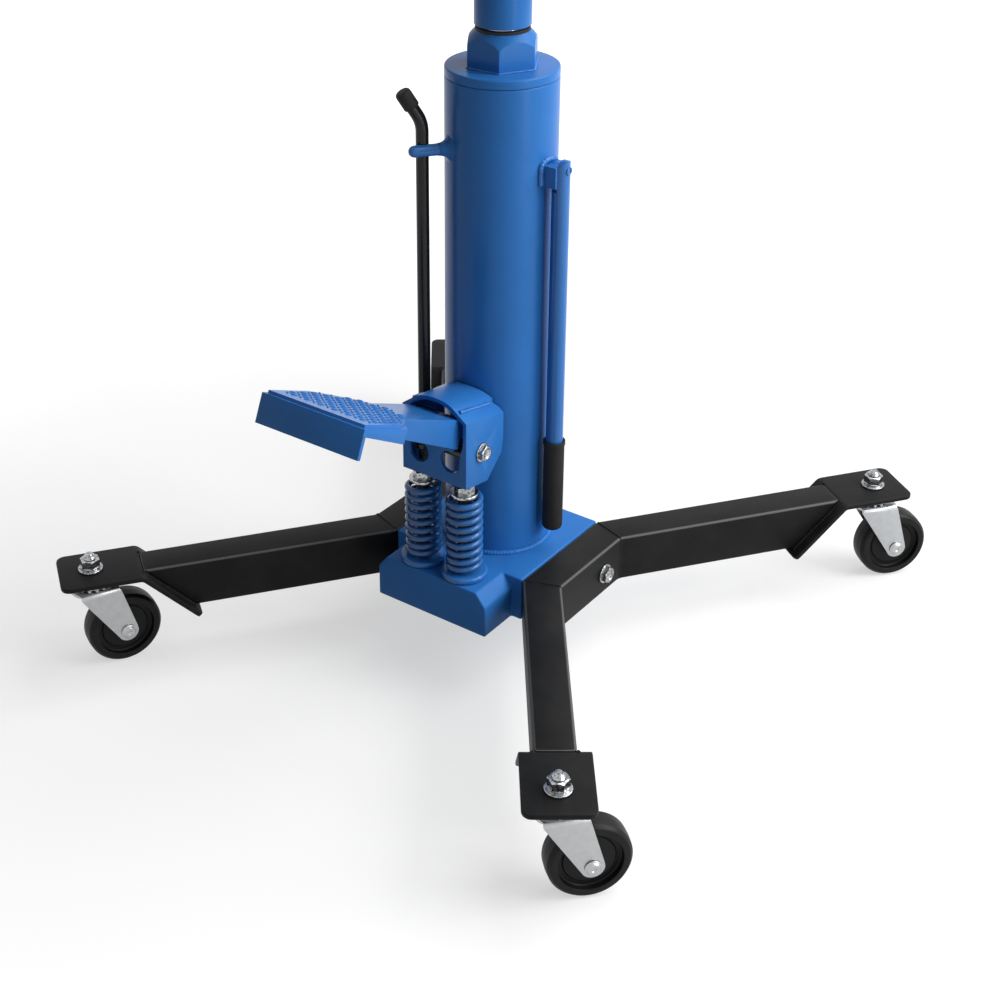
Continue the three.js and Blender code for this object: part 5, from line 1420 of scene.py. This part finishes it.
# ==== Stage ====
class JACK_OT_stage(bpy.types.Operator):
    """Pale floor, soft studio lights and camera"""

    bl_idname = "jack.stage"
    bl_label = "Stage"

    def execute(self, context):
        stage = context.scene.jack_stage
        context.scene.view_settings.view_transform = "Standard"
        self.world(stage.fill)
        self.floor(stage.floor)
        centre = (CAD_BOX[0] + CAD_BOX[1]) / 2
        wide, tall, broad = (1.3, 1.3), (0.3, 1.5), (1.8, 1.8)
        self.light("key", stage.key, wide, centre + Vector((1.95, 0.75, 1.2)), centre)
        self.light("strip", stage.strip, tall, Vector((1.8, -0.25, 0.78)), Vector((0, 0, 0.4)))
        self.light("top", stage.top, broad, centre + Vector((0.7, 0.9, 1.9)), centre)
        data = bpy.data.cameras.new("camera")
        camera = linked("camera", data)
        # The camera stands right of the pedal, above the column, and looks down at the base
        down, round_to_right = 0.4508, 0.6344
        camera.location = (0.8735, -1.2508, 1.0551)
        camera.rotation_euler = (TURN / 4 - down, 0, round_to_right)
        data.sensor_width, data.lens = 36, 63.61
        data.shift_x, data.shift_y = 0.04, -0.16
        data.clip_start, data.clip_end = 0.05, 100
        context.scene.camera = camera
        return {"FINISHED"}

    @staticmethod
    def light(name, power, size, at, target):
        """A rectangular lamp that looks at its target and isn't seen itself."""
        data = bpy.data.lights.new(name, "AREA")
        data.shape = "RECTANGLE"
        data.size, data.size_y = size
        data.energy = power
        lamp = linked(name, data)
        lamp.location = at
        lamp.rotation_euler = (target - at).to_track_quat("-Z", "Y").to_euler()
        lamp.visible_camera = False

    @staticmethod
    def seen_directly(tree):
        """1 where the eye, a reflection or a view through glass meets the surface, and else 0."""
        path = add(tree, "ShaderNodeLightPath").outputs
        first = add(tree, "ShaderNodeMath", {
            0: path["Is Camera Ray"], 1: path["Is Glossy Ray"]}, operation="MAXIMUM")
        return add(tree, "ShaderNodeMath", {
            0: first, 1: path["Is Transmission Ray"]}, operation="MAXIMUM")

    def world(self, fill):
        """Even light all round, which the eye sees as plain white."""
        world = bpy.data.worlds.new("studio")
        bpy.context.scene.world = world
        world.use_nodes = True
        tree = world.node_tree
        tree.nodes.clear()
        even, plain = [
            add(tree, "ShaderNodeBackground", {"Color": (1, 1, 1, 1), "Strength": strength})
            for strength in (fill, 1.0)]
        mix = add(tree, "ShaderNodeMixShader", {0: self.seen_directly(tree), 1: even, 2: plain})
        add(tree, "ShaderNodeOutputWorld", {"Surface": mix})

    def floor(self, share):
        """Wide floor that keeps its shadows and fades into the white behind it."""
        reach = 12
        mesh = bpy.data.meshes.new("floor")
        corners = ((-reach, -reach), (reach, -reach), (reach, reach), (-reach, reach))
        mesh.from_pydata([(x, y, 0) for x, y in corners], [], [(0, 1, 2, 3)])
        material = bpy.data.materials.new("pale_floor")
        material.use_nodes = True
        tree = material.node_tree
        tree.nodes.clear()
        # Paler to the eye than to the light that it throws back onto the jack
        direct = self.seen_directly(tree)
        thrown, seen = (0.42, 0.42, 0.42, 1), (0.47, 0.47, 0.47, 1)
        tint = add(tree, "ShaderNodeMix", {0: direct, 6: thrown, 7: seen}, data_type="RGBA")
        matt = add(tree, "ShaderNodeBsdfDiffuse", {"Color": tint.outputs[2]})
        # The lamps fade away from the middle, and the glow makes up for it
        place = add(tree, "ShaderNodeTexCoord").outputs["Object"]
        away = add(tree, "ShaderNodeVectorMath", {0: place}, operation="LENGTH").outputs["Value"]
        rise = add(tree, "ShaderNodeMapRange", {
            "Value": away, "From Min": 0.4, "From Max": 1.5, "To Min": share, "To Max": 1.0},
            interpolation_type="SMOOTHSTEP")
        strength = add(tree, "ShaderNodeMath", {0: direct, 1: rise}, operation="MULTIPLY")
        glow = add(tree, "ShaderNodeEmission", {"Strength": strength})
        both = add(tree, "ShaderNodeAddShader", {0: matt, 1: glow})
        add(tree, "ShaderNodeOutputMaterial", {"Surface": both})
        mesh.materials.append(material)
        linked("floor", mesh)


# ==== Add-on ====
PIECES = (
    JACK_OT_base, JACK_OT_column, JACK_OT_rams, JACK_OT_saddle, JACK_OT_pump, JACK_OT_springs,
    JACK_OT_rocker, JACK_OT_pedal, JACK_OT_release, JACK_OT_handle, JACK_OT_legs, JACK_OT_leg_bolts,
    JACK_OT_caster_plates, JACK_OT_casters, JACK_OT_stage,
)


class JACK_PT_panel(bpy.types.Panel):
    """Lists the pieces of the jack and their settings"""

    bl_idname = "JACK_PT_panel"
    bl_label = "Hydraulic jack"
    bl_space_type = "VIEW_3D"
    bl_region_type = "UI"
    bl_category = "Jack"

    def draw(self, context):
        scene = context.scene
        for group in (scene.jack_colours, scene.jack_sizes, scene.jack_stage):
            column = self.layout.column(align=True)
            for name in group.bl_rna.properties.keys():
                if name not in ("rna_type", "name"):
                    column.prop(group, name)
        column = self.layout.column(align=True)
        for operator in PIECES:
            column.operator(operator.bl_idname)


GROUPS = {"jack_colours": JackColours, "jack_sizes": JackSizes, "jack_stage": JackStage}


def register():
    for group in GROUPS.values():
        bpy.utils.register_class(group)
    for name, group in GROUPS.items():
        setattr(bpy.types.Scene, name, PointerProperty(type=group))
    for operator in (*PIECES, JACK_PT_panel):
        bpy.utils.register_class(operator)


def unregister():
    for operator in reversed((*PIECES, JACK_PT_panel)):
        bpy.utils.unregister_class(operator)
    for name, group in GROUPS.items():
        delattr(bpy.types.Scene, name)
        bpy.utils.unregister_class(group)


def main():
    """Registers the add-on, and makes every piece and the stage."""
    register()
    for operator in PIECES:
        group, name = operator.bl_idname.split(".")
        getattr(getattr(bpy.ops, group), name)()


if __name__ == "__main__":
    main()
